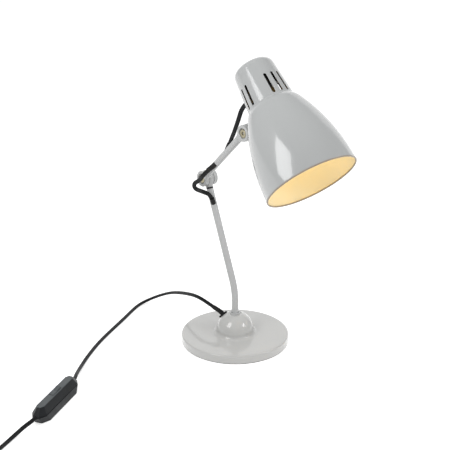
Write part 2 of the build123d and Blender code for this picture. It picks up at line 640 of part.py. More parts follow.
def make_shade():
    """Spun shade with rolled rim and vent slots, its bracket, screws, nuts and cable bushing."""
    skirt = 4 * SHEET_SHADE + 4
    rim = Pos(MOUTH_RADIUS - RIM_RADIUS + 0.25, RIM_RADIUS * 0.4) * Circle(RIM_RADIUS)
    shell = revolved(bell_profile(0) - bell_profile(skirt, -SHEET_SHADE) + rim)
    for angle in VENT_ANGLES:
        a = radians(angle)
        place = Plane(
            origin=radial(angle, VENT_MID_S, neck_radius(VENT_MID_S) - 8), x_dir=(0, 0, 1), z_dir=(cos(a), sin(a), 0)
        )
        shell -= place * extrude(SlotOverall(VENT_LENGTH, VENT_WIDTH), 16)
    shell -= rod((0, 0, CAP_S), (0, 0, CROWN_S + 1), NIPPLE_RADIUS + FIT_GAP)
    entry_out, entry_in = neck_entry(NECK_BUSHING_STANDOFF), neck_entry(-3.4)
    shell -= rod(entry_out, entry_in, NECK_BUSHING_RADIUS + FIT_GAP)
    flange = rod(entry_out, neck_entry(-1.4), NECK_BUSHING_FLANGE)
    flange -= revolved(bell_profile(0, FIT_GAP))
    lip = rod(neck_entry(0), entry_in, NECK_BUSHING_RADIUS + 0.8)
    lip &= revolved(bell_profile(0, -SHEET_SHADE - FIT_GAP))
    bushing = rod(entry_out, entry_in, NECK_BUSHING_RADIUS) + flange + lip
    bushing -= rod(
        entry_out + (entry_out - entry_in), entry_in + (entry_in - entry_out), LINK_DIAMETER / 2 + FIT_GAP
    )
    screws, nuts = [], []
    for point, normal in foot_screw_lines():
        inner, outer = point - normal * (SHEET_SHADE + 0.2), point + normal * (FOOT_THICKNESS + 0.02)
        nut_end = inner - normal * FOOT_NUT_HEIGHT
        tip = nut_end - normal
        shell -= rod(tip, outer, FOOT_SCREW_RADIUS + FIT_GAP)
        head = rod(outer, outer + normal * FOOT_SCREW_HEAD_HEIGHT, FOOT_SCREW_HEAD_RADIUS)
        screws.append(rod(tip, outer, FOOT_SCREW_RADIUS) + head)
        hexagon = RegularPolygon(FOOT_NUT_RADIUS, 6) - Circle(FOOT_SCREW_RADIUS + FIT_GAP)
        nuts.append(Plane(origin=nut_end, z_dir=normal) * extrude(hexagon, FOOT_NUT_HEIGHT))
    return {
        "shade": on_axis(shell),
        "neck_bushing": on_axis(bushing),
        "bracket_screws": [on_axis(s) for s in screws],
        "bracket_nuts": [on_axis(n) for n in nuts],
        "shade_bracket": make_bracket(),
    }


def make_bracket():
    """Tongue at the head pivot with a tapered web to a foot that follows the bell."""
    half = TONGUE_THICKNESS / 2
    low, high = FOOT_LOW_S - MOUTH_DROP, FOOT_HIGH_S - MOUTH_DROP
    near = AXIS_OFFSET - bell_radius(FOOT_LOW_S)
    far = AXIS_OFFSET - NECK_RADIUS + 4
    lean = degrees(atan2(high - HUB_RADIUS, far))
    top_touch = (HUB_RADIUS * sin(radians(-lean)), HUB_RADIUS * cos(radians(lean)))
    outline = Polyline(
        top_touch, (far, high), (far, low), (near - 2, low), (HUB_RADIUS * 0.55, -HUB_RADIUS * 0.83), close=True
    )
    web = Pos(0, half, 0) * extrude(Plane.XZ * make_face(outline), TONGUE_THICKNESS)
    foot = Pos((near + far) / 2, 0, (low + high) / 2) * Box(far - near + 8, 2 * FOOT_HALF_WIDTH, high - low)
    foot = fillet(foot.edges().filter_by(Axis.X), 3)
    seat = Pos(AXIS_OFFSET, 0, -MOUTH_DROP)
    foot &= seat * revolved(bell_profile(0, FOOT_THICKNESS))
    body = y_disc(HUB_RADIUS, -half, half) + web + foot
    body -= Pos(-FIT_GAP, 0, 0) * seat * revolved(bell_profile(0))
    body -= y_disc(PIVOT_RADIUS + FIT_GAP, -half - 1, half + 1)
    for point, normal in foot_screw_lines():
        body -= seat * rod(point - normal * 3, point + normal * (FOOT_THICKNESS + 1), FOOT_SCREW_RADIUS + FIT_GAP)
        room = point + normal * FOOT_THICKNESS
        body -= seat * rod(room, room + normal * 20, FOOT_SCREW_HEAD_RADIUS + 0.3)
    return SHADE * body


def make_holder():
    """Cap nut, nipple, lampholder with its ring, and the bulb, all on the shade's axis."""
    nut_top = CROWN_S + CAP_NUT_HEIGHT
    nut = rod((0, 0, CROWN_S), (0, 0, nut_top), CAP_NUT_RADIUS)
    nut = fillet(nut.edges().group_by(Axis.Z)[-1], CAP_NUT_HEIGHT * 0.6)
    nut -= rod((0, 0, CROWN_S), (0, 0, nut_top - 1.2), NIPPLE_RADIUS + FIT_GAP)
    holder_top = CROWN_INSIDE - 1.2
    holder_low = holder_top - HOLDER_LENGTH
    nipple_low = holder_top - HOLDER_DOME
    nipple = rod((0, 0, nipple_low), (0, 0, nut_top - 1.4), NIPPLE_RADIUS)
    nipple -= rod((0, 0, nipple_low - 1), (0, 0, nut_top), NIPPLE_BORE)
    body = rod((0, 0, holder_low), (0, 0, holder_top), HOLDER_RADIUS)
    body = fillet(body.edges().group_by(Axis.Z)[-1], HOLDER_DOME - 1)
    body -= rod((0, 0, holder_low), (0, 0, holder_top - HOLDER_DOME), HOLDER_RADIUS - HOLDER_WALL)
    body -= rod((0, 0, holder_low), (0, 0, holder_top + 1), NIPPLE_RADIUS + FIT_GAP)
    ring_low = holder_low + 6
    ring = rod((0, 0, ring_low), (0, 0, ring_low + HOLDER_RING_HEIGHT), HOLDER_RING_RADIUS)
    ring = fillet(ring.edges().group_by(Axis.Z)[-1], 1.5)
    ring -= rod((0, 0, ring_low), (0, 0, ring_low + HOLDER_RING_HEIGHT), HOLDER_RADIUS + FIT_GAP)
    cap_top = holder_top - HOLDER_DOME - 6
    cap_low = cap_top - BULB_CAP_LENGTH
    cap = rod((0, 0, cap_low), (0, 0, cap_top - 4), BULB_CAP_RADIUS)
    cap += rod((0, 0, cap_top - 4), (0, 0, cap_top), BULB_CAP_RADIUS, BULB_CAP_RADIUS / 2)
    cap -= rod((0, 0, cap_low), (0, 0, cap_top - 6), BULB_CAP_RADIUS - 0.5)
    centre = cap_low - BULB_LENGTH + BULB_RADIUS
    globe = Pos(0, centre) * Circle(BULB_RADIUS)
    stem_low, stem_top = centre, cap_low - FIT_GAP
    stem = Pos(0, (stem_low + stem_top) / 2) * Rectangle(2 * BULB_NECK_RADIUS, stem_top - stem_low)
    outline = globe + stem
    crook = centre + sqrt(BULB_RADIUS**2 - BULB_NECK_RADIUS**2)
    outline = fillet(vertices_near(outline, BULB_NECK_RADIUS, crook), BULB_FILLET)
    hollow = offset(outline, -GLASS_WALL)
    throat = Pos(0, stem_top) * Rectangle(2 * (BULB_NECK_RADIUS - GLASS_WALL), 8 * GLASS_WALL)
    glass = revolved(right_half(outline - (hollow + throat)))
    return {
        "cap_nut": on_axis(nut),
        "holder_nipple": on_axis(nipple),
        "lampholder": on_axis(body),
        "holder_ring": on_axis(ring),
        "bulb_cap": on_axis(cap),
        "bulb_glass": on_axis(glass),
    }


def make_link_cables():
    """The two loops of flex that cross the joints, from sleeve to sleeve."""
    elbow_points = (
        LOWER_SLEEVE.root,
        LOWER_SLEEVE.tip + LOWER_SLEEVE.axis * 7,
        (-54.0, -16.8, 223.0),
        (-67.0, -23.4, 225.8),
        (-67.0, -24.6, 238.4),
        (-56.0, -22.2, 246.5),
        UPPER_SLEEVE.tip + UPPER_SLEEVE.axis * 7.5,
        UPPER_SLEEVE.root,
    )
    seat = Vector(AXIS_OFFSET, 0, -MOUTH_DROP)
    head_points = (
        BACK_SLEEVE.root,
        BACK_SLEEVE.tip + BACK_SLEEVE.axis * 7.5,
        (2.5, -5.2, 322.0),
        (9.3, -3.4, 340.0),
        (13.8, -1.0, 357.0),
        SHADE.from_local_coords(neck_entry(11) + seat),
        SHADE.from_local_coords(neck_entry(-6) + seat),
    )
    return {
        "elbow_cable": flex(flex_path(elbow_points, "elbow cable"), LINK_DIAMETER, "elbow cable"),
        "head_cable": flex(flex_path(head_points, "head cable"), LINK_DIAMETER, "head cable"),
    }


def make_lead():
    """Bushing with its bent relief, the lead to the switch and the flex inside the dome."""
    place = Plane(origin=BUSHING_AT, z_dir=BUSHING_NORMAL)
    ball = Pos(DOME_CENTRE) * Sphere(DOME_RADIUS + 0.02)
    flange = place * rod((0, 0, -2), (0, 0, BUSHING_FLANGE_HEIGHT), BUSHING_FLANGE_RADIUS) - ball
    inner_ball = Pos(DOME_CENTRE) * Sphere(DOME_RADIUS - SHEET_BASE - 0.02)
    barrel_low = -SHEET_BASE - 2.4
    barrel = place * rod((0, 0, barrel_low), (0, 0, 0.5), BUSHING_BARREL_RADIUS)
    lip = place * rod((0, 0, barrel_low), (0, 0, 0), BUSHING_BARREL_RADIUS + BUSHING_LIP)
    start = BUSHING_AT + BUSHING_NORMAL * (BUSHING_FLANGE_HEIGHT - 0.4)
    outgoing = (Vector(LEAD_POINTS[0]) - Vector(RELIEF_TIP)).normalized()
    bend = Spline(start, RELIEF_TIP, tangents=[BUSHING_NORMAL, outgoing])
    root = Plane(origin=bend @ 0, z_dir=bend % 0) * Circle(RELIEF_ROOT_RADIUS)
    tip = Plane(origin=bend @ 1, z_dir=bend % 1) * Circle(RELIEF_TIP_RADIUS)
    relief = sweep([root, tip], path=bend, multisection=True)
    bushing = flange + barrel + (lip & inner_ball) + relief
    inside_end = BUSHING_AT + BUSHING_NORMAL * barrel_low
    window_z = WEIGHT_TOP + BUSH_FLANGE_THICKNESS + INNER_DIAMETER / 2 + 0.6
    toward = Vector(cos(radians(BUSHING_AZIMUTH)), sin(radians(BUSHING_AZIMUTH)), 0)
    drop = BUSH_RADIUS + INNER_DIAMETER / 2
    inner_points = (
        inside_end,
        inside_end - BUSHING_NORMAL * 5.5,
        toward * (drop + 5.1) + Vector(0, 0, window_z + 5.8),
        toward * (drop + 1.6) + Vector(0, 0, window_z),
        Vector(0, 0, window_z),
        Vector(0, 0, TUBE_BOTTOM + FLEX_OVERLAP),
    )
    length = switch_half_length()
    entry = [switch_point(x, SWITCH_PART_Z) for x in (-length - 12.5, -length + SWITCH_CORD_DEPTH)]
    points = (bend @ 1, *LEAD_POINTS, *entry)
    return {
        "lead_bushing": bushing,
        "base_flex": flex(flex_path(inner_points, "base flex"), INNER_DIAMETER, "base flex"),
        "mains_lead": flex(flex_path(points, "mains lead"), LEAD_DIAMETER, "mains lead"),
    }


def switch_half_length():
    """Half the distance between the switch's two cord entries."""
    return (Vector(*SWITCH_NEAR) - Vector(*SWITCH_FAR)).length / 2


def switch_frame():
    """Frame of the inline switch: x along the cord, z up, origin on the table under its middle."""
    far, near = Vector(*SWITCH_FAR), Vector(*SWITCH_NEAR)
    return Plane(origin=(far + near) / 2, x_dir=near - far, z_dir=(0, 0, 1))


def switch_point(x, z):
    """Point on the switch's middle plane."""
    return switch_frame().from_local_coords(Vector(x, 0, z))


def hipped(half_length, half_width, taper, nose, z):
    """Long octagon whose ends taper to a nose, drawn at a height."""
    x, y = half_length, half_width
    right = [(x - taper, -y), (x, -min(nose, y)), (x, min(nose, y)), (x - taper, y)]
    return Pos(0, 0, z) * make_face(Polyline(*right, *[(-px, -py) for px, py in right], close=True))


def switch_shell(levels, shrink):
    """Loft through octagons given as height, half length and half width, drawn in by a wall."""
    faces = []
    for z, length, width in levels:
        taper = SWITCH_END_TAPER * width / SWITCH_HALF_WIDTH
        nose = SWITCH_NOSE_HALF_WIDTH * width / SWITCH_HALF_WIDTH
        faces.append(hipped(length - 2 * shrink, width - shrink, taper, nose, z))
    return loft(faces, ruled=True)


def make_switch():
    """Inline switch: two shells, rocker on its pin, contacts and screws, with the lead beyond it."""
    length = switch_half_length()
    frame = switch_frame()
    upper = [(SWITCH_PART_Z, length, SWITCH_HALF_WIDTH)]
    upper.append((SWITCH_TOP_Z, length - SWITCH_TOP_INSET, SWITCH_TOP_HALF_WIDTH))
    lower = [
        (0.0, length - SWITCH_BASE_INSET - SWITCH_FOOT_INSET, SWITCH_BASE_HALF_WIDTH - SWITCH_FOOT_INSET),
        (SWITCH_WIDE_Z, length - SWITCH_BASE_INSET, SWITCH_BASE_HALF_WIDTH),
        (SWITCH_PART_Z, length, SWITCH_HALF_WIDTH),
    ]
    roof = SWITCH_TOP_Z - SWITCH_WALL
    room_above = [upper[0], (roof, length - SWITCH_TOP_INSET, SWITCH_TOP_HALF_WIDTH + 0.6)]
    room_below = [(SWITCH_WALL, length - SWITCH_BASE_INSET, SWITCH_BASE_HALF_WIDTH), lower[2]]
    top = switch_shell(upper, 0) - switch_shell(room_above, SWITCH_WALL)
    bottom = switch_shell(lower, 0) - switch_shell(room_below, SWITCH_WALL)
    cord_hole = rod((-length - 1, 0, SWITCH_PART_Z), (length + 1, 0, SWITCH_PART_Z), LEAD_DIAMETER / 2 + 0.1)
    top -= cord_hole
    bottom -= cord_hole
    pin_z = SWITCH_TOP_Z - ROCKER_PIN_DROP
    slot = Box(ROCKER_LENGTH + 2 * ROCKER_END_GAP, ROCKER_WIDTH + 2 * ROCKER_GAP, 8)
    cheek_gap = ROCKER_WIDTH / 2 + ROCKER_GAP
    cheek_drop = pin_z - ROCKER_PIN_RADIUS - 1.4
    for side in (-1, 1):
        cheek = Box(6, 2.0, roof + 0.5 - cheek_drop, align=(Align.CENTER, Align.CENTER, Align.MIN))
        top += Pos(0, side * (cheek_gap + 1.0), cheek_drop) * cheek & switch_shell(upper, 0.4)
    top -= Pos(0, 0, SWITCH_TOP_Z) * slot
    pin_half = cheek_gap + 1.2
    top -= rod((0, -pin_half - 0.2, pin_z), (0, pin_half + 0.2, pin_z), ROCKER_PIN_RADIUS + 0.02)
    pin = rod((0, -pin_half, pin_z), (0, pin_half, pin_z), ROCKER_PIN_RADIUS)
    rocker = make_rocker(pin_z)
    screws = []
    for side in (-1, 1):
        x = side * SWITCH_BOSS_AT
        bottom += rod((x, 0, SWITCH_WALL - 0.2), (x, 0, SWITCH_PART_Z - 3.4), SWITCH_BOSS_RADIUS)
        top += rod((x, 0, SWITCH_PART_Z - 3.3), (x, 0, roof + 0.2), SWITCH_BOSS_RADIUS)
        bore = rod((x, 0, -1), (x, 0, roof - 1), SWITCH_SCREW_RADIUS + FIT_GAP)
        counterbore = rod((x, 0, -1), (x, 0, 1.4), 2 * SWITCH_SCREW_RADIUS + 0.2)
        top -= bore
        bottom = bottom - bore - counterbore
        shank = rod((x, 0, 1.4), (x, 0, roof - 2), SWITCH_SCREW_RADIUS)
        screws.append(frame * (shank + rod((x, 0, 0.3), (x, 0, 1.4), 2 * SWITCH_SCREW_RADIUS)))
    contacts = [
        frame
        * Pos(side * CONTACT_AT, 0, SWITCH_WALL)
        * Box(*CONTACT_SIZE, align=(Align.CENTER, Align.CENTER, Align.MIN))
        for side in (-1, 1)
    ]
    leaving = [switch_point(x, SWITCH_PART_Z) for x in (length - SWITCH_CORD_DEPTH, length + 5)]
    points = (*leaving, *SWITCH_LEAD_POINTS, *coil_entry())
    return {
        "switch_top": frame * top,
        "switch_bottom": frame * bottom,
        "switch_pin": frame * pin,
        "switch_rocker": frame * rocker,
        "switch_screws": screws,
        "switch_contacts": contacts,
        "switch_lead": flex(flex_path(points, "switch lead"), LEAD_DIAMETER, "switch lead"),
    }


def make_rocker(pin_z):
    """Rocker with two flat faces that meet at its middle, tilted to its rest side."""
    half = ROCKER_LENGTH / 2
    rise = ROCKER_PROUD + half * tan(radians(ROCKER_TILT))
    top = SWITCH_TOP_Z
    low = pin_z - ROCKER_PIN_RADIUS - 1.2
    profile = Polyline(
        (-half, top + rise),
        (0, top + ROCKER_PROUD),
        (half, top + rise),
        (half, top - 2.0),
        (half * 0.35, low),
        (-half * 0.35, low),
        (-half, top - 2.0),
        close=True,
    )
    body = Pos(0, ROCKER_WIDTH / 2, 0) * extrude(Plane.XZ * make_face(profile), ROCKER_WIDTH)
    body = body.rotate(Axis((0, 0, pin_z), (0, 1, 0)), ROCKER_TILT)
    return body - rod((0, -ROCKER_WIDTH, pin_z), (0, ROCKER_WIDTH, pin_z), ROCKER_PIN_RADIUS + FIT_GAP)


def coil_heading(angle):
    """Clockwise direction of travel at an angle about the coil's centre."""
    return Vector(sin(radians(angle)), -cos(radians(angle)), 0)


def coil_entry():
    """The last two points of the lead before the coil, on its tangent."""
    a = radians(COIL_START)
    start = Vector(COIL_CENTRE[0] + COIL_RADIUS * cos(a), COIL_CENTRE[1] + COIL_RADIUS * sin(a), COIL_Z)
    straight = start - coil_heading(COIL_START) * LEAD_DIAMETER
    return (straight - coil_heading(COIL_START) * 12, straight)


def coil_edges():
    """Half turns that wind in on the table, climb, and wind out again on top."""
    straight = coil_entry()[1]
    point = straight + coil_heading(COIL_START) * LEAD_DIAMETER
    edges = [Line(straight, point)]
    inward = [COIL_RADIUS - i * COIL_PITCH / 2 for i in range(COIL_HALF_TURNS)]
    climb = [inward[-1] - COIL_PITCH / 2]
    outward = [climb[0] + (i + 1) * COIL_PITCH / 2 for i in range(COIL_HALF_TURNS)]
    angle = COIL_START
    for count, radius in enumerate(inward + climb + outward):
        lift = Vector(0, 0, COIL_PITCH if count == len(inward) else 0)
        out = Vector(cos(radians(angle)), sin(radians(angle)), 0)
        centre = point - out * radius + lift / 2
        end = point - out * 2 * radius + lift
        edges.append(ThreePointArc(point, centre + coil_heading(angle) * radius, end))
        point = end
        angle += 180
    edges.append(Line(point, point + coil_heading(angle) * LEAD_DIAMETER))
    return edges, point + coil_heading(angle) * LEAD_DIAMETER, coil_heading(angle)


def print_coil_gap(edges):
    """Prints the least gap between the coil's turns, measured on points along it."""
    samples, travelled, reached = [], [], 0.0
    for edge in edges:
        steps = max(2, int(edge.length / 1.5))
        for i in range(steps):
            samples.append(tuple(edge @ (i / steps)))
            travelled.append(reached + edge.length * i / steps)
        reached += edge.length
    points, along_path = np.array(samples), np.array(travelled)
    apart = np.linalg.norm(points[:, None] - points[None, :], axis=2)
    far_along = np.abs(along_path[:, None] - along_path[None, :]) > 4 * LEAD_DIAMETER
    print(f"coil: length {reached:.1f}, least gap {apart[far_along].min() - LEAD_DIAMETER:.2f}")


def make_coil():
    """Coil of spare lead with its tie, the tail to the plug, and the plug with its pins."""
    edges, end, heading = coil_edges()
    print_coil_gap(edges)
    path = Wire([Edge(e.wrapped) for edge in edges for e in edge.edges()])
    coil = flex(path, LEAD_DIAMETER, "coil")
    plug_axis = Vector(cos(radians(PLUG_HEADING)), sin(radians(PLUG_HEADING)), 0)
    tail_end = Vector(*TAIL_END, PLUG_HEIGHT / 2 + 0.05)
    rear = tail_end + plug_axis * 12
    tail_path = flex_path((end, end + heading * TAIL_STRAIGHT, tail_end, rear), "plug tail")
    frame = Plane(origin=rear, x_dir=(0, 0, 1), z_dir=plug_axis)
    body, pins = make_plug()
    return {
        "mains_coil": coil,
        "coil_tie": make_tie(),
        "plug_tail": flex(tail_path, LEAD_DIAMETER, "plug tail"),
        "plug_body": frame * body,
        "plug_pins": [frame * p for p in pins],
    }


def make_tie():
    """Flat band round the coil's bundle at one place."""
    half = LEAD_DIAMETER / 2
    inner = COIL_RADIUS - (COIL_HALF_TURNS + 1) * COIL_PITCH / 2 - half - 0.6
    outer = COIL_RADIUS + half + 1.2
    low = COIL_Z - half - TIE_GAP
    high = COIL_Z + COIL_PITCH + half + TIE_GAP
    mid_x, mid_z = (inner + outer) / 2, (low + high) / 2
    hole = RectangleRounded(outer - inner, high - low, half)
    band_face = RectangleRounded(
        outer - inner + 2 * TIE_THICKNESS, high - low + 2 * TIE_THICKNESS, half + TIE_THICKNESS
    )
    ring = extrude(Plane.XZ * (band_face - hole), TIE_WIDTH / 2, both=True)
    return Pos(*COIL_CENTRE) * Rot(0, 0, TIE_ANGLE) * Pos(mid_x, 0, mid_z) * ring


def make_plug():
    """Flat two-pin plug, its rear at the origin and its pins towards +z, lying on its flat side."""
    sections = (
        (0.0, PLUG_NOSE_HEIGHT, PLUG_NOSE_WIDTH, 3.6),
        (PLUG_LENGTH * 0.3, PLUG_NOSE_HEIGHT * 1.1, PLUG_NOSE_WIDTH * 1.25, 3.8),
        (PLUG_LENGTH * 0.66, PLUG_HEIGHT, PLUG_WIDTH, 5.0),
        (PLUG_LENGTH, PLUG_HEIGHT, PLUG_WIDTH * 0.93, 5.0),
    )
    faces = [Pos(0, 0, z) * RectangleRounded(height, width, corner) for z, height, width, corner in sections]
    body = loft(faces, ruled=True)
    pins = []
    for side in (-1, 1):
        y = side * PIN_SPACING / 2
        pin = rod((0, y, PLUG_LENGTH), (0, y, PLUG_LENGTH + PIN_LENGTH), PIN_RADIUS)
        pins.append(fillet(pin.edges().group_by(Axis.Z)[-1], PIN_RADIUS * 0.6))
    return body, pins


def export(parts):
    """Writes each piece, or each group of like pieces, to its own STEP file."""
    os.makedirs("parts", exist_ok=True)
    for name, shape in parts.items():
        solids = [s for piece in (shape if isinstance(shape, list) else [shape]) for s in piece.solids()]
        whole = solids[0] if len(solids) == 1 else Compound(children=solids)
        export_step(whole, f"parts/{name}.step")
        print(f"{name}: {len(solids)} solids, {sum(s.volume for s in solids) / 1000:.2f} cm3")


PARTS = {
    **make_base(),
    **make_lead(),
    **make_switch(),
    **make_coil(),
    **make_lower_arm(),
    **make_upper_arm(),
    **make_shade(),
    **make_holder(),
    **make_link_cables(),
}
export(PARTS)
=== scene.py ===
"""Dresses the articulated desk lamp: enamelled steel, dark flex and a lit bulb.

Sizes inside the classes are in millimetres and become metres when a mesh is made. The frame is
the part's own: +Z up, the arms fold in the XZ plane, the shade points to +X, and the pivot
screws are on the -Y side.
"""

import logging
import math
from collections.abc import Callable, Sequence
from dataclasses import dataclass, field, replace
from enum import Enum

import bmesh
import bpy
import numpy as np
from mathutils import Matrix

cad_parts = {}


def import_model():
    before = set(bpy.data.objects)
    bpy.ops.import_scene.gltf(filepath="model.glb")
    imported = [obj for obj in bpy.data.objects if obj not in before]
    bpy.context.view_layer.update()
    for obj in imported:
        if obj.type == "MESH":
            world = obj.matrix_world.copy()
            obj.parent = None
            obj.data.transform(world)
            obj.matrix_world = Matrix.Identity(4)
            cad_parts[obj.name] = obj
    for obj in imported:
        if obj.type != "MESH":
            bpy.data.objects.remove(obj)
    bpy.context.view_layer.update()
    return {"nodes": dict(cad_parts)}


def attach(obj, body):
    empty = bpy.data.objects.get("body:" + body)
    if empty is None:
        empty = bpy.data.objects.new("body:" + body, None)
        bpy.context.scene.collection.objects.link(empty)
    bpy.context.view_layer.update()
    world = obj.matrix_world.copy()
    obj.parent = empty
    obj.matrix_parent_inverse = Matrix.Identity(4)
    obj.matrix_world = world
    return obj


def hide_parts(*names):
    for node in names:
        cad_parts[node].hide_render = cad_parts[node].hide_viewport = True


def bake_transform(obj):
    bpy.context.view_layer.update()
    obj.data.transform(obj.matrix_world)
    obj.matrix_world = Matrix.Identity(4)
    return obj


LOG = logging.getLogger("desk_lamp")
MM = 0.001
TAU = 2 * math.pi
Point = tuple[float, float, float]
Along = Callable[[np.ndarray], np.ndarray]
Socket = bpy.types.NodeSocket


def linear(hex_colour: str) -> tuple[float, float, float, float]:
    """Turns an sRGB hex colour into the linear values that Blender's sockets take.

    Args:
        hex_colour: six hex digits, red first.

    Returns:
        Linear red, green and blue with an alpha of one.
    """
    values = np.array([int(hex_colour[i : i + 2], 16) for i in (0, 2, 4)]) / 255
    red, green, blue = np.where(values <= 0.04045, values / 12.92, ((values + 0.055) / 1.055) ** 2.4)
    return float(red), float(green), float(blue), 1.0


def add_node(
    owner: bpy.types.Material | bpy.types.World, kind: str, settings: dict | None = None, **inputs: object
) -> bpy.types.Node:
    """Adds one shader node with its settings, and fills its inputs with values or links.

    Args:
        owner: the material or world whose tree gets the node.
        kind: the node's type name without its first word.
        settings: values for the node's own properties.
        inputs: a value or a socket for each input, called by its name with an underscore for a
            blank, or by "in" and its number.

    Returns:
        The new node.
    """
    tree = owner.node_tree
    node = tree.nodes.new(f"ShaderNode{kind}")
    for key, value in (settings or {}).items():
        setattr(node, key, value)
    for key, value in inputs.items():
        numbered = key.startswith("in") and key[2:].isdigit()
        target = node.inputs[int(key[2:]) if numbered else key.replace("_", " ")]
        if isinstance(value, Socket):
            tree.links.new(value, target)
        else:
            target.default_value = value
    return node


def begun(name: str) -> tuple[bpy.types.Material, Socket]:
    """Starts a material with an empty tree.

    Args:
        name: the material's name.

    Returns:
        The material and its object coordinates.
    """
    material = bpy.data.materials.new(name)
    material.use_nodes = True
    material.node_tree.nodes.clear()
    return material, add_node(material, "TexCoord").outputs["Object"]


class Grain(Enum):
    """The fine relief that a surface shows close up."""

    SPRAYED = "sprayed enamel's slight orange peel"
    MOULDED = "the even spark-eroded grain of a plastic mould"
    TURNED = "fine rings left by a lathe"
    CAST = "the coarse skin of a sand casting"
    DRAWN = "faint lines along a drawn or extruded piece"


@dataclass(frozen=True)
class Look:
    """A material that is made once and found again by its name."""

    name: str
    colour: str

    def build(self) -> bpy.types.Material:
        """Makes the material once, or finds it again.

        Returns:
            The finished material.
        """
        known = bpy.data.materials.get(self.name)
        if known:
            return known
        material, place = begun(self.name)
        shader = self.shader(material, place)
        add_node(material, "OutputMaterial", Surface=shader.outputs["BSDF"])
        return material

    def shader(self, material: bpy.types.Material, place: Socket) -> bpy.types.Node:
        """Each kind of look makes its own shader."""
        raise NotImplementedError


@dataclass(frozen=True)
class Finish(Look):
    """A painted, moulded or metal surface with its own grain, tone variation and wear."""

    roughness: float
    grain: Grain
    metallic: float = 0.0
    coat: float = 0.0
    coat_roughness: float = 0.05
    ior: float = 1.5
    relief: float = 0.05
    grain_mm: float = 1.2
    tone: float = 0.04

    def shader(self, material: bpy.types.Material, place: Socket) -> bpy.types.Node:
        """Puts the tone, the handling marks and the grain on one shader.

        Args:
            material: the material being built.
            place: the object coordinates.

        Returns:
            The shader.
        """
        shader = add_node(
            material, "BsdfPrincipled", Base_Color=self.toned(material, place), Metallic=self.metallic,
            Roughness=self.handled(material, place), Coat_Weight=self.coat,
            Coat_Roughness=self.coat_roughness, Normal=self.raised(material, place),
        )
        if not self.metallic:
            shader.inputs["IOR"].default_value = self.ior
        return shader

    def toned(self, material: bpy.types.Material, place: Socket) -> Socket:
        """Lets the colour drift a little over some 40 mm, as paint and plastic do.

        Args:
            material: the material being built.
            place: the object coordinates.

        Returns:
            The colour socket.
        """
        drift = add_node(material, "TexNoise", Vector=place, Scale=1 / (40 * MM), Detail=3.0)
        base = np.array(linear(self.colour)[:3])
        dark, light = base * (1 - self.tone), np.minimum(base * (1 + self.tone), 1)
        ends = {"in6": (*dark, 1.0), "in7": (*light, 1.0)}
        return add_node(material, "Mix", {"data_type": "RGBA"}, in0=drift.outputs["Fac"], **ends).outputs[2]

    def handled(self, material: bpy.types.Material, place: Socket) -> Socket:
        """Varies the gloss with faint handling marks some 15 mm across.

        Args:
            material: the material being built.
            place: the object coordinates.

        Returns:
            The roughness socket.
        """
        marks = add_node(material, "TexNoise", Vector=place, Scale=1 / (15 * MM), Detail=5.0)
        low, high = max(self.roughness * 0.85, 0.0), min(self.roughness * 1.2 + 0.01, 1.0)
        spread = {"From_Min": 0.3, "From_Max": 0.7, "To_Min": low, "To_Max": high}
        return add_node(material, "MapRange", Value=marks.outputs["Fac"], **spread).outputs["Result"]

    def raised(self, material: bpy.types.Material, place: Socket) -> Socket:
        """Makes the grain's relief as a bump of a few hundredths of a millimetre.

        Args:
            material: the material being built.
            place: the object coordinates.

        Returns:
            The normal socket.
        """
        scale = 1 / (self.grain_mm * MM)
        if self.grain is Grain.TURNED:
            rings = {"wave_type": "RINGS", "rings_direction": "Y"}
            relief = add_node(material, "TexWave", rings, Vector=place, Scale=scale / 20, Distortion=0.4)
        else:
            stretch = (1.0, 1.0, 0.06) if self.grain is Grain.DRAWN else (1.0, 1.0, 1.0)
            spot = add_node(material, "Mapping", Vector=place, Scale=stretch).outputs["Vector"]
            detail = 6.0 if self.grain is Grain.CAST else 2.0
            relief = add_node(material, "TexNoise", Vector=spot, Scale=scale, Detail=detail)
        height = relief.outputs["Fac"]
        bump = add_node(material, "Bump", Height=height, Strength=self.relief, Distance=0.3 * MM)
        return bump.outputs["Normal"]


@dataclass(frozen=True)
class Lit(Look):
    """Frosted glass that gives off warm light, full round the globe and dim along the neck."""

    glow: str
    strength: float
    mouth: Point = (0.0, 0.0, 0.0)
    full: float = 100.0
    dim: float = 113.0
    least: float = 0.008

    def shader(self, material: bpy.types.Material, place: Socket) -> bpy.types.Node:
        """Lets the glow fade with the distance from the middle of the shade's mouth.

        Args:
            material: the material being built.
            place: the object coordinates.

        Returns:
            The shader.
        """
        frost = add_node(material, "TexNoise", Vector=place, Scale=1 / (0.8 * MM), Detail=2.0)
        bump = add_node(material, "Bump", Height=frost.outputs["Fac"], Strength=0.05, Distance=0.2 * MM)
        middle = tuple(value * MM for value in self.mouth)
        away = add_node(material, "VectorMath", {"operation": "DISTANCE"}, in0=place, in1=middle)
        fade = add_node(
            material, "MapRange", Value=away.outputs["Value"], From_Min=self.full * MM,
            From_Max=self.dim * MM, To_Min=self.strength, To_Max=self.strength * self.least,
        )
        return add_node(
            material, "BsdfPrincipled", Base_Color=linear(self.colour), Roughness=0.35,
            Emission_Color=linear(self.glow), Emission_Strength=fade.outputs["Result"],
            Normal=bump.outputs["Normal"],
        )


# Stove enamel on spun and drawn steel: an even pale grey with soft, clear window reflections
SHADE_ENAMEL = Finish(
    "stove_enamel_shade", "ADAFAF", 0.16, Grain.SPRAYED, coat=0.6, relief=0.035, grain_mm=2.2, tone=0.015
)
# The same enamel on the pressed cover, paler and a little softer in its reflections
BASE_ENAMEL = Finish(
    "stove_enamel_base", "C0C0BE", 0.2, Grain.SPRAYED, coat=0.6, relief=0.05, grain_mm=2.0, tone=0.02
)
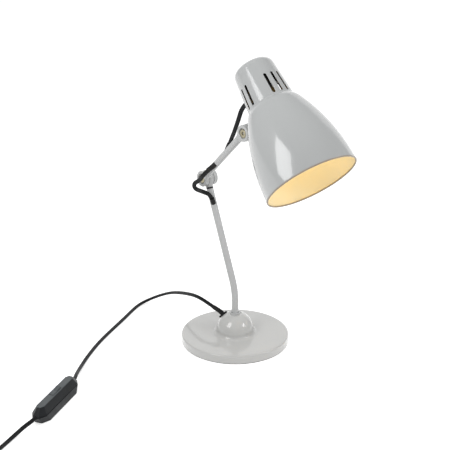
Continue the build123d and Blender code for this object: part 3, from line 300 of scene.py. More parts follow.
# A thin coat on the tubes and hubs, with hardly any mirror in it
ARM_ENAMEL = Finish(
    "stove_enamel_arms", "BABBBB", 0.26, Grain.SPRAYED, coat=0.12, ior=1.42, relief=0.05, grain_mm=1.6,
    tone=0.02,
)
# The shade's inside is sprayed white, with a softer gloss that the bulb's light fills
INNER_ENAMEL = Finish("white_enamel_inside", "F4EED6", 0.38, Grain.SPRAYED, relief=0.05, tone=0.02)
# Painted shade: the neck's inside is dark brown, standing in for the shade behind the vents
NECK_PAINTED_SHADE = Finish("neck_inside_painted_shade", "241A12", 0.6, Grain.SPRAYED, relief=0.1, tone=0.1)
# Painted shade and reflection on the rolled bead: a fine line, darker and warmer than the bell
BEAD_PAINTED_SHADE = Finish("stove_enamel_bead", "988E82", 0.35, Grain.SPRAYED, relief=0.05, tone=0.03)
# Injection-moulded ABS, dark, with a fine grain that spreads its highlights
BLACK_ABS = Finish("moulded_abs_black", "0E0E0E", 0.42, Grain.MOULDED, ior=1.36, relief=0.12, grain_mm=0.5)
SWITCH_ABS = replace(BLACK_ABS, name="moulded_abs_charcoal", colour="131619", roughness=0.45)
TOP_ABS = replace(BLACK_ABS, name="moulded_abs_grey", colour="505456")
# Extruded PVC flex: nearly black with a low sheen and faint lines along it
FLEX_PVC = Finish("extruded_pvc_flex", "0F1113", 0.42, Grain.DRAWN, ior=1.31, relief=0.08, grain_mm=0.6)
# Moulded rubber: black and duller than the flex, with a matt ribbed pad
SLEEVE_RUBBER = Finish(
    "moulded_rubber_sleeve", "0F1010", 0.5, Grain.MOULDED, ior=1.36, relief=0.15, grain_mm=0.7
)
PAD_RUBBER = Finish("ribbed_rubber_pad", "19191A", 0.8, Grain.MOULDED, relief=0.4, grain_mm=1.5)
# Moulded nylon, a plain mid grey close to the enamel
GREY_NYLON = Finish("moulded_nylon_grey", "8E8F8F", 0.4, Grain.MOULDED, relief=0.1, grain_mm=0.6)
# Turned nickel-plated brass: warm grey metal with fine lathe rings
NICKEL_BRASS = Finish(
    "nickel_plated_brass", "A59E86", 0.3, Grain.TURNED, metallic=1.0, relief=0.05, grain_mm=0.5, tone=0.06
)
# Zinc-plated steel: a cooler, duller metal
ZINC_STEEL = Finish(
    "zinc_plated_steel", "A9AAA8", 0.35, Grain.TURNED, metallic=1.0, relief=0.06, grain_mm=0.5, tone=0.06
)
# Sand-cast iron: dark, rough and uneven
CAST_IRON = Finish(
    "sand_cast_iron", "3B3A39", 0.75, Grain.CAST, metallic=0.6, relief=0.6, grain_mm=1.8, tone=0.12
)
# Pressed aluminium: the bulb cap's bright thread
BULB_ALUMINIUM = Finish(
    "pressed_aluminium", "BFC0C2", 0.3, Grain.TURNED, metallic=1.0, relief=0.05, grain_mm=0.6
)
# Thermoset lampholder, moulded smooth: its black shows through the upper ends of the vents
HOLDER_THERMOSET = Finish("moulded_thermoset_black", "0C0C0C", 0.35, Grain.MOULDED, relief=0.05, grain_mm=0.8)
# A frosted bulb, lit: the brightest thing inside the bell, and dark glass where its glow has faded
FROSTED_BULB = Lit("frosted_bulb_lit", "4A3E2C", "FFD26F", 3.65)


@dataclass
class Surface:
    """Points in millimetres and the faces between them, worked out as whole arrays."""

    points: np.ndarray
    faces: np.ndarray

    def placed(self, matrix: np.ndarray) -> "Surface":
        """Moves every point by a 4 by 4 matrix in millimetres."""
        return Surface(self.points @ matrix[:3, :3].T + matrix[:3, 3], self.faces)

    def __add__(self, other: "Surface") -> "Surface":
        """Puts two surfaces into one piece."""
        faces = np.vstack([self.faces, other.faces + len(self.points)])
        return Surface(np.vstack([self.points, other.points]), faces)

    def mesh(self, name: str) -> bpy.types.Mesh:
        """Makes a mesh in metres.

        Args:
            name: the mesh's name.

        Returns:
            The mesh.
        """
        mesh = bpy.data.meshes.new(name)
        mesh.from_pydata((self.points * MM).tolist(), [], self.faces.tolist())
        return mesh


def grid(points: np.ndarray, wrap_rows: bool = False, wrap_columns: bool = True) -> Surface:
    """Joins an array of points, rows by columns, with four-sided faces.

    Args:
        points: rows by columns by three.
        wrap_rows: whether the last row meets the first.
        wrap_columns: whether the last column meets the first.

    Returns:
        The surface.
    """
    rows, columns = points.shape[:2]
    r = np.arange(rows if wrap_rows else rows - 1)[:, None]
    c = np.arange(columns if wrap_columns else columns - 1)[None, :]
    r_next, c_next = (r + 1) % rows, (c + 1) % columns
    corners = (r * columns + c, r * columns + c_next, r_next * columns + c_next, r_next * columns + c)
    faces = np.stack(np.broadcast_arrays(*corners), axis=-1).reshape(-1, 4)
    return Surface(points.reshape(-1, 3), faces)


def revolve(
    profile: Sequence[Sequence[float]], segments: int = 96, closed: bool = False, first: float = 0.0
) -> Surface:
    """Turns a profile about z: each point (r, z) becomes (r cos t, r sin t, z) for t round the circle.

    Args:
        profile: radius and height along the profile.
        segments: how many steps round.
        closed: whether the profile's end meets its start.
        first: the first step's angle.

    Returns:
        The turned surface.
    """
    r, z = np.asarray(profile, float).T[..., None]
    turn = np.linspace(first, first + TAU, segments, endpoint=False)
    points = np.stack([r * np.cos(turn), r * np.sin(turn), np.repeat(z, segments, axis=1)], axis=-1)
    return grid(points, wrap_rows=closed)


def arc(x: float, y: float, radius: float, angles: np.ndarray) -> np.ndarray:
    """Points on a circle about (x, y), at these angles."""
    return np.column_stack([x + radius * np.cos(angles), y + radius * np.sin(angles)])


def round_corner(
    before: Sequence[float], corner: Sequence[float], after: Sequence[float], radius: float, steps: int = 6
) -> np.ndarray:
    """Replaces a profile's corner by an arc that touches both of its lines.

    Args:
        before: point on the line into the corner.
        corner: the corner.
        after: point on the line out of it.
        radius: the arc's radius.
        steps: how many pieces the arc has.

    Returns:
        Points along the arc.
    """
    corner = np.asarray(corner, float)
    into = np.asarray(before, float) - corner
    out = np.asarray(after, float) - corner
    into, out = into / np.linalg.norm(into), out / np.linalg.norm(out)
    half = math.acos(float(np.clip(into @ out, -1, 1))) / 2
    middle = (into + out) / np.linalg.norm(into + out)
    centre = corner + middle * radius / math.sin(half)
    start = corner + into * radius / math.tan(half) - centre
    end = corner + out * radius / math.tan(half) - centre
    sweep = math.pi - 2 * half
    t = np.linspace(0, 1, steps + 1)[:, None]
    return centre + (np.sin((1 - t) * sweep) * start + np.sin(t * sweep) * end) / math.sin(sweep)


def rounded(corners: Sequence[tuple[float, ...]], steps: int = 6) -> np.ndarray:
    """Draws a profile through corners given as (x, y) or (x, y, radius).

    Args:
        corners: the profile's corners in order.
        steps: how many pieces each arc has.

    Returns:
        Points along the profile.
    """
    flat = [np.array(c[:2], float) for c in corners]
    line = [flat[0][None]]
    for i in range(1, len(corners) - 1):
        if len(corners[i]) > 2:
            line.append(round_corner(flat[i - 1], flat[i], flat[i + 1], corners[i][2], steps))
        else:
            line.append(flat[i][None])
    return np.vstack([*line, flat[-1][None]])


def shifted(by: Sequence[float]) -> np.ndarray:
    """Makes a matrix that only moves.

    Args:
        by: how far, along x, y and z.

    Returns:
        A 4 by 4 matrix.
    """
    matrix = np.eye(4)
    matrix[:3, 3] = by
    return matrix


def frame_at(origin: Sequence[float], lean: float) -> np.ndarray:
    """Frame whose z leans from vertical towards +X and whose y is the lamp's +Y.

    Args:
        origin: the frame's origin.
        lean: the lean in degrees.

    Returns:
        A 4 by 4 matrix.
    """
    a = math.radians(lean)
    matrix = shifted(origin)
    matrix[:3, 0] = (math.cos(a), 0, -math.sin(a))
    matrix[:3, 2] = (math.sin(a), 0, math.cos(a))
    return matrix


def frame_along(
    origin: Sequence[float], direction: Sequence[float], side: Sequence[float] = (0, 0, 1)
) -> np.ndarray:
    """Frame whose z is a direction, with its x as near as it can be to a side.

    Args:
        origin: the frame's origin.
        direction: the way of its z axis.
        side: the wished way of its x axis.

    Returns:
        A 4 by 4 matrix.
    """
    z = np.asarray(direction, float) / np.linalg.norm(direction)
    side = np.asarray(side, float)
    if abs(z @ side) > 0.98 * np.linalg.norm(side):
        side = np.array([1.0, 0, 0])
    x = side - z * (side @ z)
    x /= np.linalg.norm(x)
    matrix = shifted(origin)
    matrix[:3, 0], matrix[:3, 1], matrix[:3, 2] = x, np.cross(z, x), z
    return matrix


def toward(angle: float) -> np.ndarray:
    """Level way at an angle from +X, in degrees."""
    return np.array([math.cos(math.radians(angle)), math.sin(math.radians(angle)), 0])


def about_y(surface: Surface) -> Surface:
    """Lays a surface that was turned about z along y instead, its z becoming y."""
    return Surface(surface.points @ np.array([[1, 0, 0], [0, 0, -1], [0, 1, 0]]), surface.faces)


def carried(path: np.ndarray, section: Along, up: Sequence[float] = (0, 0, 1)) -> Surface:
    """Carries a closed section along a path and closes both ends.

    The section's first axis is level, across the path and the way up, and its second is square
    to both. Each end is drawn in to the path's own end point.

    Args:
        path: points along the path.
        section: gives, for the share of the way along, an array of rows by points by two.
        up: the way that counts as up.

    Returns:
        The swept surface.
    """
    steps = np.linalg.norm(np.diff(path, axis=0), axis=1)
    share = np.concatenate([[0], np.cumsum(steps)]) / steps.sum()
    tangent = np.gradient(path, axis=0)
    tangent /= np.linalg.norm(tangent, axis=1)[:, None]
    across = np.cross(tangent, np.asarray(up, float))
    across /= np.linalg.norm(across, axis=1)[:, None]
    above = np.cross(across, tangent)
    outline = section(share)
    points = path[:, None] + outline[..., :1] * across[:, None] + outline[..., 1:] * above[:, None]
    start, end = (np.repeat(path[at, None], points.shape[1], axis=1) for at in (slice(1), slice(-1, None)))
    return grid(np.concatenate([start, points, end]))


def round_section(radius: Along, count: int = 32) -> Along:
    """Round section whose radius follows the share of the way along.

    Args:
        radius: the radius at each share.
        count: how many points round.

    Returns:
        The section's function.
    """
    circle = arc(0, 0, 1, np.linspace(0, TAU, count, endpoint=False))
    return lambda share: radius(share)[:, None, None] * circle


def bulged(wave: np.ndarray, power: float | np.ndarray) -> np.ndarray:
    """A sine or cosine raised to a power with its sign kept, which squares a circle off."""
    return np.sign(wave) * np.abs(wave) ** power


def flex_section(width: float, thick: float, twist: Along, count: int = 28) -> Along:
    """Flat two-core flex: a superellipse with a shallow groove along both broad sides.

    The outline is x = w sign(cos t) |cos t|^0.8 and the same for y with sin, thinned in the
    middle by 16 percent, and turned about the path by the twist.

    Args:
        width: the whole width.
        thick: the whole thickness.
        twist: the turn in degrees at each share of the way.
        count: how many points round.

    Returns:
        The section's function.
    """
    turn = np.linspace(0, TAU, count, endpoint=False)
    x, y = width / 2 * bulged(np.cos(turn), 0.8), thick / 2 * bulged(np.sin(turn), 0.8)
    y = y * (1 - 0.16 * np.exp(-((x / (0.17 * width)) ** 2)))

    def section(share: np.ndarray) -> np.ndarray:
        """The turned outline at each share of the way."""
        a = np.radians(twist(share))[:, None]
        return np.stack([x * np.cos(a) - y * np.sin(a), x * np.sin(a) + y * np.cos(a)], axis=-1)

    return section


def steps_between(*pairs: tuple[float, float]) -> Along:
    """Gives a function that runs straight between (share, value) pairs, in order."""
    shares, values = np.array(pairs, float).T
    return lambda share: np.interp(share, shares, values)


def smooth_line(points: Sequence[Sequence[float]], spacing: float = 1.5) -> np.ndarray:
    """Reads the line of an open NURBS spline of order 3 that has these control points.

    Args:
        points: control points in millimetres.
        spacing: distance between the points read from it.

    Returns:
        Points along the line, evenly spaced.
    """
    curve = bpy.data.curves.new("route", "CURVE")
    curve.dimensions = "3D"
    spline = curve.splines.new("NURBS")
    spline.points.add(len(points) - 1)
    control = np.array([tuple(p) for p in points]) * MM
    spline.points.foreach_set("co", np.column_stack([control, np.ones(len(points))]).ravel())
    spline.order_u = 3
    spline.use_endpoint_u = True
    spline.resolution_u = 16
    holder = bpy.data.objects.new("route", curve)
    mesh = bpy.data.meshes.new_from_object(holder)
    line = np.empty(3 * len(mesh.vertices))
    mesh.vertices.foreach_get("co", line)
    line = line.reshape(-1, 3) / MM
    bpy.data.meshes.remove(mesh)
    bpy.data.objects.remove(holder)
    bpy.data.curves.remove(curve)
    reach = np.concatenate([[0], np.cumsum(np.linalg.norm(np.diff(line, axis=0), axis=1))])
    even = np.linspace(0, reach[-1], int(reach[-1] / spacing) + 2)
    return np.column_stack([np.interp(even, reach, line[:, axis]) for axis in range(3)])


class Shading(Enum):
    """How a piece's faces meet the light."""

    SMOOTH = "one continuous curve"
    EDGED = "flats that keep their corners"


def cleaned(mesh: bpy.types.Mesh, merge: float, flatten: bool) -> None:
    """Merges near points, mends or joins faces and turns them all outwards.

    Args:
        mesh: the mesh, changed in place.
        merge: how near points are merged, in millimetres.
        flatten: whether faces within 2 degrees become one, or only empty faces go.
    """
    shape = bmesh.new()
    shape.from_mesh(mesh)
    bmesh.ops.remove_doubles(shape, verts=shape.verts, dist=merge * MM)
    if flatten:
        bmesh.ops.dissolve_limit(shape, angle_limit=math.radians(2), verts=shape.verts, edges=shape.edges)
    else:
        bmesh.ops.dissolve_degenerate(shape, edges=shape.edges, dist=0.001 * MM)
    bmesh.ops.recalc_face_normals(shape, faces=shape.faces)
    shape.to_mesh(mesh)
    shape.free()


def painted(mesh: bpy.types.Mesh, *looks: Look) -> None:
    """Gives a mesh these materials and no others.

    Args:
        mesh: the mesh, changed in place.
        looks: its materials in order.
    """
    mesh.materials.clear()
    for look in looks:
        mesh.materials.append(look.build())


def linked(name: str, data: bpy.types.ID) -> bpy.types.Object:
    """Makes an object of a mesh, lamp or camera and puts it in the scene.

    Args:
        name: the object's name.
        data: what it shows.

    Returns:
        The new object.
    """
    thing = bpy.data.objects.new(name, data)
    bpy.context.scene.collection.objects.link(thing)
    return thing


def entered(
    piece: bpy.types.Object, shading: Shading, body: str | None, stands_for: Sequence[str]
) -> bpy.types.Object:
    """Shades a piece smooth, keeps its flats flat where it has corners, rides it on its body and hides what
    it stands for.

    Args:
        piece: the object.
        shading: whether corners stay crisp.
        body: the body that it moves with, or none for a piece that spans two and rides on neither.
        stands_for: the nodes that it replaces.

    Returns:
        The same object.
    """
    mesh = piece.data
    mesh.polygons.foreach_set("use_smooth", np.ones(len(mesh.polygons), bool))
    if shading is Shading.EDGED:
        mesh.set_sharp_from_angle(angle=math.radians(38))
        piece.modifiers.new("flat faces first", "WEIGHTED_NORMAL").keep_sharp = True
    if body:
        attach(piece, body)
    if stands_for:
        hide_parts(*stands_for)
    LOG.info("%s: %d faces", piece.name, len(mesh.polygons))
    return piece


def make_piece(
    name: str, surface: Surface, look: Look, body: str | None, stands_for: Sequence[str] = (),
    shading: Shading = Shading.EDGED,
) -> bpy.types.Object:
    """Welds a surface into a closed mesh and rides it on its body.

    Args:
        name: the piece's name.
        surface: its points and faces.
        look: its material.
        body: the body that it moves with, or none for a piece that spans two and rides on neither.
        stands_for: the nodes that it replaces.
        shading: whether corners stay crisp.

    Returns:
        The new object.
    """
    mesh = surface.mesh(name)
    cleaned(mesh, 0.004, flatten=False)
    painted(mesh, look)
    return entered(linked(name, mesh), shading, body, stands_for)


def finished(
    node: str, surface: Surface, look: Look, body: str | None, shading: Shading = Shading.EDGED
) -> bpy.types.Object:
    """Makes a piece that stands for one node and is named after it."""
    return make_piece(f"{node}_finished", surface, look, body, [node], shading)


def refined(node: str, look: Look, body: str, bevel: float = 0.0) -> bpy.types.Object:
    """Makes a merged copy of a solid with eased edges, which stands for it.

    Args:
        node: the node's name.
        look: its material.
        body: the body that it moves with.
        bevel: width of the eased edges in millimetres, or none.

    Returns:
        The copy.
    """
    name = f"{node}_finished"
    mesh = FRAME["nodes"][node].data.copy()
    mesh.name = name
    cleaned(mesh, 0.01, flatten=True)
    painted(mesh, look)
    piece = linked(name, mesh)
    if bevel:
        ease = piece.modifiers.new("eased edges", "BEVEL")
        ease.width, ease.segments, ease.limit_method = bevel * MM, 3, "ANGLE"
        ease.angle_limit = math.radians(35)
        ease.use_clamp_overlap = True
    return entered(piece, Shading.EDGED, body, [node])


def dress(look: Look, *nodes: str) -> list[bpy.types.Object]:
    """Gives solids that stay as they are their finish.

    Args:
        look: their material.
        nodes: their names.

    Returns:
        The solids' objects.
    """
    solids = [FRAME["nodes"][node] for node in nodes]
    for solid in solids:
        painted(solid.data, look)
    return solids


@dataclass
class Skeleton:
    """Where the arms stand in the photograph's pose."""

    bend_z: float = 79.5
    lower_lean: float = -22.82
    lower_length: float = 172.5
    upper_lean: float = 47.04
    upper_length: float = 129.6
    shade_lean: float = -43.47
    axis_offset: float = 67.3
    mouth_drop: float = 117.5
    tube_offset: float = -7.8
    tube_cut: float = 16.6

    def __post_init__(self) -> None:
        """Works out the pivots and the frames of both arms and the shade."""
        lower = frame_at((0, 0, self.bend_z), self.lower_lean)
        self.elbow = lower[:3, 3] + lower[:3, 2] * self.lower_length
        self.lower = frame_at(self.elbow, self.lower_lean)
        self.upper = frame_at(self.elbow, self.upper_lean)
        head = self.elbow + self.upper[:3, 2] * self.upper_length
        self.upper_end = frame_at(head, self.upper_lean)
        self.shade = frame_at(head, self.shade_lean) @ shifted((self.axis_offset, 0, -self.mouth_drop))


@dataclass
class Base:
    """Pressed cover with its dome, the pad, the weight and the swivel's fittings."""

    radius: float = 80.0
    top: float = 13.25
    edge: float = 2.4
    skirt: float = 1.2
    sheet: float = 1.2
    dome: float = 28.4
    dome_z: float = 16.8
    dome_top: float = 43.0
    flare: float = 6.0
    hole: float = 5.9
    collar: float = 7.3
    collar_height: float = 2.8
    collar_bore: float = 5.35
    collar_gap: float = 0.02
    pad_inner: float = 74.0
    pad_outer: float = 79.3
    pad_low: float = 0.05
    pad_high: float = 1.15

    def skin(self) -> np.ndarray:
        """Draws the cover's outside from its skirt over the disc, the flare and the dome.

        The flare is an arc of radius f that touches both the disc and the dome, so its centre
        lies f above the disc and f outside the dome's sphere. The sphere stops 0.06 radians
        short of the flat crown, and a small arc joins the two.

        Returns:
            Radius and height along the outside.
        """
        edge = round_corner((self.radius, self.skirt), (self.radius, self.top), (0, self.top), self.edge, 8)
        lift = self.top + self.flare - self.dome_z
        flare_r = math.sqrt((self.dome + self.flare) ** 2 - lift**2)
        touch = math.atan2(self.dome_z - self.top - self.flare, -flare_r)
        flare = arc(flare_r, self.top + self.flare, self.flare, np.linspace(-math.pi / 2, touch, 12))
        last = math.asin((self.dome_top - self.dome_z) / self.dome)
        sphere = arc(0, self.dome_z, self.dome, np.linspace(math.atan2(lift, flare_r), last - 0.06, 40))
        shoulder = (self.dome * math.cos(last) + 0.2, self.dome_top, 1.3)
        crown = rounded([tuple(sphere[-1]), shoulder, (6.0, self.dome_top)], 5)
        disc = np.column_stack([np.linspace(edge[-1][0], flare[0][0], 12)[1:-1], np.full(10, self.top)])
        return np.vstack([[(self.radius, self.skirt)], edge, disc, flare, sphere[1:], crown[1:]])

    def build(self) -> None:
        """Makes the cover, the ring nut and the pad's edge, which also paints the shadow under the rim, and
        dresses the pieces under them.
        """
        skin = self.skin()
        inner = np.maximum(skin - self.sheet, (self.hole, self.skirt))
        cover = revolve(np.vstack([skin, inner[::-1]]), 192, closed=True)
        finished("base_cover", cover, BASE_ENAMEL, "base")
        foot, top = self.dome_top + self.collar_gap, self.dome_top + self.collar_height
        bore, out = self.collar_bore, self.collar
        ring = rounded([(bore, foot), (out, foot), (out, top, 0.9), (bore, top, 0.3), (bore, foot)], 5)
        finished("dome_ring_nut", revolve(ring[:-1], 64, closed=True), ARM_ENAMEL, "base")
        # The pad's dark rubber edge reaches out under the rim as painted shadow where the base meets the
        # floor
        low, high, out = self.pad_low, self.pad_high, self.pad_outer
        edge = rounded([(self.pad_inner, low), (out, low, 0.4), (out, high, 0.2), (self.pad_inner, high)], 3)
        make_piece("pad_edge", revolve(edge, 128, closed=True), PAD_RUBBER, "base")
        dress(CAST_IRON, "base_weight")
        dress(PAD_RUBBER, "base_pad")
        dress(ZINC_STEEL, "swivel_bush", "swivel_grub_screw", "bush_screws")
        dress(FLEX_PVC, "base_flex")


@dataclass
class Tube:
    """Steel tube of the arms, with the band round each end's neck."""

    radius: float = 5.0
    band_start: float = 13.9
    band_length: float = 2.9
    proud: float = 0.12
    sunk: float = 1.0
    eased: float = 0.25

    def along(self, path: np.ndarray) -> Surface:
        """Carries the tube's circle along a path."""
        return carried(path, round_section(lambda share: np.full(len(share), self.radius), 48), up=(0, 1, 0))

    def band(self, matrix: np.ndarray, centre_y: float, outward: float) -> Surface:
        """Draws the band round the neck, a tenth of a millimetre proud of the tube.

        Args:
            matrix: the joint's frame.
            centre_y: the tube's place along the pivot.
            outward: 1 or -1, the way the tube runs.

        Returns:
            The band's surface.
        """
        low, high = sorted((outward * self.band_start, outward * (self.band_start + self.band_length)))
        out, inside, ease = self.radius + self.proud, self.radius - self.sunk, self.eased
        line = rounded([(inside, low), (out, low, ease), (out, high, ease), (inside, high)], 3)
        return revolve(line, 48, closed=True).placed(matrix @ shifted((0, centre_y, 0)))


@dataclass
class Pivot:
    """Friction joint: hub, tongue, washers, screw and cap nut on one axis along y."""

    hub: float = 11.8
    hub_thick: float = 6.4
    edge: float = 1.2
    recess: float = 7.6
    recess_deep: float = 2.6
    tongue: float = 7.5
    washer: float = 10.4
    washer_bore: float = 3.2
    washer_thick: float = 0.7
    play: float = 0.15
    head: float = 6.1
    head_thick: float = 1.9
    shank: float = 2.95
    shank_end: float = 9.0
    socket: float = 2.5
    socket_deep: float = 1.8
    neck: float = 5.0
    neck_wide: float = 7.6
    neck_sunk: float = 5.5
    neck_end: float = 14.6

    @property
    def face(self) -> float:
        """Distance from the pivot's middle to the hubs' inner faces."""
        return self.tongue / 2 + self.play + self.washer_thick

    def necked(self, low: float, high: float, centre_y: float, outward: float) -> Surface:
        """Carries a disc's section over into its round neck.

        The outline at each height is a rounded box whose half depth grows from the disc's own
        to the neck's radius, and whose half width shrinks to it.

        Args:
            low: the disc's low face along y.
            high: the disc's high face along y.
            centre_y: the neck's place along y.
            outward: 1 or -1, the way the tube runs.

        Returns:
            The neck's surface.
        """
        share = np.linspace(0, 1, 14)[:, None]
        height = outward * (self.hub - self.neck_sunk + share * (self.neck_end - self.hub + self.neck_sunk))
        ease = share**1.6
        half_wide = (1 - ease) * self.neck_wide + ease * self.neck
        half_deep = (1 - ease) * ((high - low) / 2 - 0.05) + ease * self.neck
        middle = (1 - ease) * (low + high) / 2 + ease * centre_y
        power = (1 - ease) * 0.35 + ease
        turn = np.linspace(0, TAU, 48, endpoint=False)[None]
        x, y = half_wide * bulged(np.cos(turn), power), middle + half_deep * bulged(np.sin(turn), power)
        rings = np.stack([x, y, np.repeat(height, turn.size, axis=1)], axis=-1)
        start, end = (np.broadcast_to(r.mean(axis=0), r.shape)[None] for r in (rings[0], rings[-1]))
        return grid(np.concatenate([start, rings, end]))

    def disc(self, low: float, high: float, low_edge: float, high_edge: float) -> Surface:
        """Draws a full disc of the hub's size.

        Args:
            low: its low face along y.
            high: its high face.
            low_edge: the low edge's radius.
            high_edge: the high edge's radius.

        Returns:
            The disc's surface.
        """
        line = rounded([(0, low), (self.hub, low, low_edge), (self.hub, high, high_edge), (0, high)])
        return about_y(revolve(line, 96))

    def hub_surface(self, outward: float) -> Surface:
        """Draws the screw-side disc with its recess and neck.

        Args:
            outward: 1 or -1, the way the tube runs.

        Returns:
            The hub's surface.
        """
        low, high = -self.face - self.hub_thick, -self.face
        floor, recess, hub = low + self.recess_deep, self.recess, self.hub
        rim = [(recess, low, 0.3), (hub, low, self.edge), (hub, high, 0.25)]
        line = rounded([(0, floor), (recess, floor), *rim, (0, high)])
        return about_y(revolve(line, 96)) + self.necked(low, high, (low + high) / 2, outward)

    def tongue_surface(self, outward: float) -> Surface:
        """Draws the middle disc with its neck."""
        half = self.tongue / 2
        return self.disc(-half, half, 0.4, 0.4) + self.necked(-half, half, 0.0, outward)

    def cap_surface(self) -> Surface:
        """Draws the rear cap nut, eased at its outer edge."""
        return self.disc(self.face, self.face + self.hub_thick, 0.25, self.edge)

    def washer_surface(self) -> Surface:
        """Draws both washers, the far one the near one's mirror image.

        Returns:
            The washers' surface.
        """
        low, high, bore, out = -self.face, -self.tongue / 2 - self.play, self.washer_bore, self.washer
        line = rounded([(bore, low), (out, low, 0.15), (out, high, 0.15), (bore, high)], 3)
        near, far = (about_y(revolve(line * (1, side), 64, closed=True)) for side in (1, -1))
        return near + far

    def screw_surface(self) -> Surface:
        """Draws the pan head with a six-sided socket, and its shank.

        The socket's radius is a hexagon's, r / cos of the angle from the nearest flat, where r
        is 0.94 of the socket's own.

        Returns:
            The screw's surface.
        """
        seat = -self.face - self.hub_thick + self.recess_deep
        front = seat - self.head_thick
        shank = [(0, self.shank_end), (self.shank, self.shank_end, 0.4), (self.shank, seat)]
        head = [(self.head, seat), (self.head, front, 0.8), (self.socket, front, 0.25)]
        floor = front + self.socket_deep
        surface = revolve(rounded([*shank, *head, (self.socket, floor), (0, floor + 0.4)], 4), 96)
        turn = np.arctan2(surface.points[:, 1], surface.points[:, 0])
        flat = np.cos((turn + math.pi / 6) % (math.pi / 3) - math.pi / 6)
        reach = np.hypot(surface.points[:, 0], surface.points[:, 1])
        inside = (surface.points[:, 2] < seat - 0.2) & (reach < self.socket + 0.4)
        surface.points[:, :2] *= np.where(inside, 0.94 / flat, 1.0)[:, None]
        return about_y(surface)


@dataclass
class Sleeve:
    """Ribbed rubber sleeve that lets a flex out of a tube."""

    root: Point
    tip: Point
    root_radius: float = 3.9
    tip_radius: float = 3.55
    ribs: int = 5
    groove: float = 0.32
    ribbed: tuple[float, float] = (0.3, 0.95)

    def beyond(self, distance: float) -> Point:
        """Point past the sleeve's tip on its own line."""
        root, tip = np.array(self.root), np.array(self.tip)
        return tuple(tip + (tip - root) / np.linalg.norm(tip - root) * distance)

    def surface(self) -> Surface:
        """Draws a taper with shallow grooves across it.

        Returns:
            The sleeve's surface.
        """
        root, tip = np.array(self.root), np.array(self.tip)
        length = float(np.linalg.norm(tip - root))
        h = np.linspace(0, 1, 61)
        taper = self.root_radius + (self.tip_radius - self.root_radius) * h
        first, last = self.ribbed
        cut = self.groove * np.clip(np.sin(h * self.ribs * TAU) - 0.35, 0, 1) * (h > first) * (h < last)
        line = np.column_stack([taper - cut, h * length])
        line = np.vstack([[(0, 0)], line, [(self.tip_radius - 0.7, length + 0.15)], [(0, length)]])
        return revolve(line, 40).placed(frame_along(root, tip - root))


def splayed(
    frame: np.ndarray, at: float, turn: float, splay: float, length: float, up: float, centre_y: float
) -> Sleeve:
    """Places a sleeve beside a tube: its root a millimetre off the middle, its tip outside.

    Args:
        frame: the arm's frame.
        at: distance along the arm.
        turn: angle about the arm from +x towards -y, in degrees.
        splay: angle between the sleeve and the tube, in degrees.
        length: the sleeve's length.
        up: 1 or -1, the way that it points along the arm.
        centre_y: the tube's place along y.

    Returns:
        The sleeve.
    """
    a, b = math.radians(turn), math.radians(splay)
    side = frame[:3, 0] * math.cos(a) - frame[:3, 1] * math.sin(a)
    root = frame[:3, 3] + frame[:3, 2] * at + frame[:3, 1] * centre_y + side
    axis = frame[:3, 2] * up * math.cos(b) + side * math.sin(b)
    return Sleeve(tuple(root), tuple(root + axis * length))


@dataclass
class LowerArm:
    """Bent tube from the swivel to the elbow, with its tongue, band and sleeve."""

    bones: Skeleton
    tube: Tube = field(default_factory=Tube)
    pivot: Pivot = field(default_factory=Pivot)
    bottom: float = 22.6
    bend_radius: float = 84.0
    sleeve_at: float = 40.0
    sleeve_turn: float = 40.0
    sleeve_splay: float = 41.0
    sleeve_length: float = 11.8

    def path(self) -> np.ndarray:
        """Works out the tube's middle: a straight stem, an arc of the bend's radius, a lean.

        Returns:
            Points along the tube.
        """
        lean = math.radians(-self.bones.lower_lean)
        reach = self.bend_radius * math.tan(lean / 2)
        turn = np.linspace(0, lean, 24)[:, None]
        start = np.array([0, 0, self.bones.bend_z - reach])
        bend = start + self.bend_radius * np.hstack([np.cos(turn) - 1, 0 * turn, np.sin(turn)])
        top = self.bones.elbow - self.bones.lower[:3, 2] * self.bones.tube_cut
        stem, rise = np.linspace((0, 0, self.bottom), start, 12), np.linspace(bend[-1], top, 40)
        return np.vstack([stem[:-1], bend, rise[1:]])

    def sleeve(self) -> Sleeve:
        """Places the sleeve on the tube's screw side, pointing up."""
        turn, splay, length = self.sleeve_turn, self.sleeve_splay, self.sleeve_length
        return splayed(self.bones.lower, -self.sleeve_at, turn, splay, length, 1, 0.0)

    def build(self) -> None:
        """Makes the arm's visible pieces and dresses the flex inside it."""
        frame, body = self.bones.lower, "lower_arm"
        finished("lower_tube", self.tube.along(self.path()), ARM_ENAMEL, body)
        finished("lower_tongue", self.pivot.tongue_surface(-1).placed(frame), ARM_ENAMEL, body)
        finished("lower_band", self.tube.band(frame, 0, -1), BLACK_ABS, body)
        finished("lower_sleeve", self.sleeve().surface(), SLEEVE_RUBBER, body)
        dress(FLEX_PVC, "stem_flex")


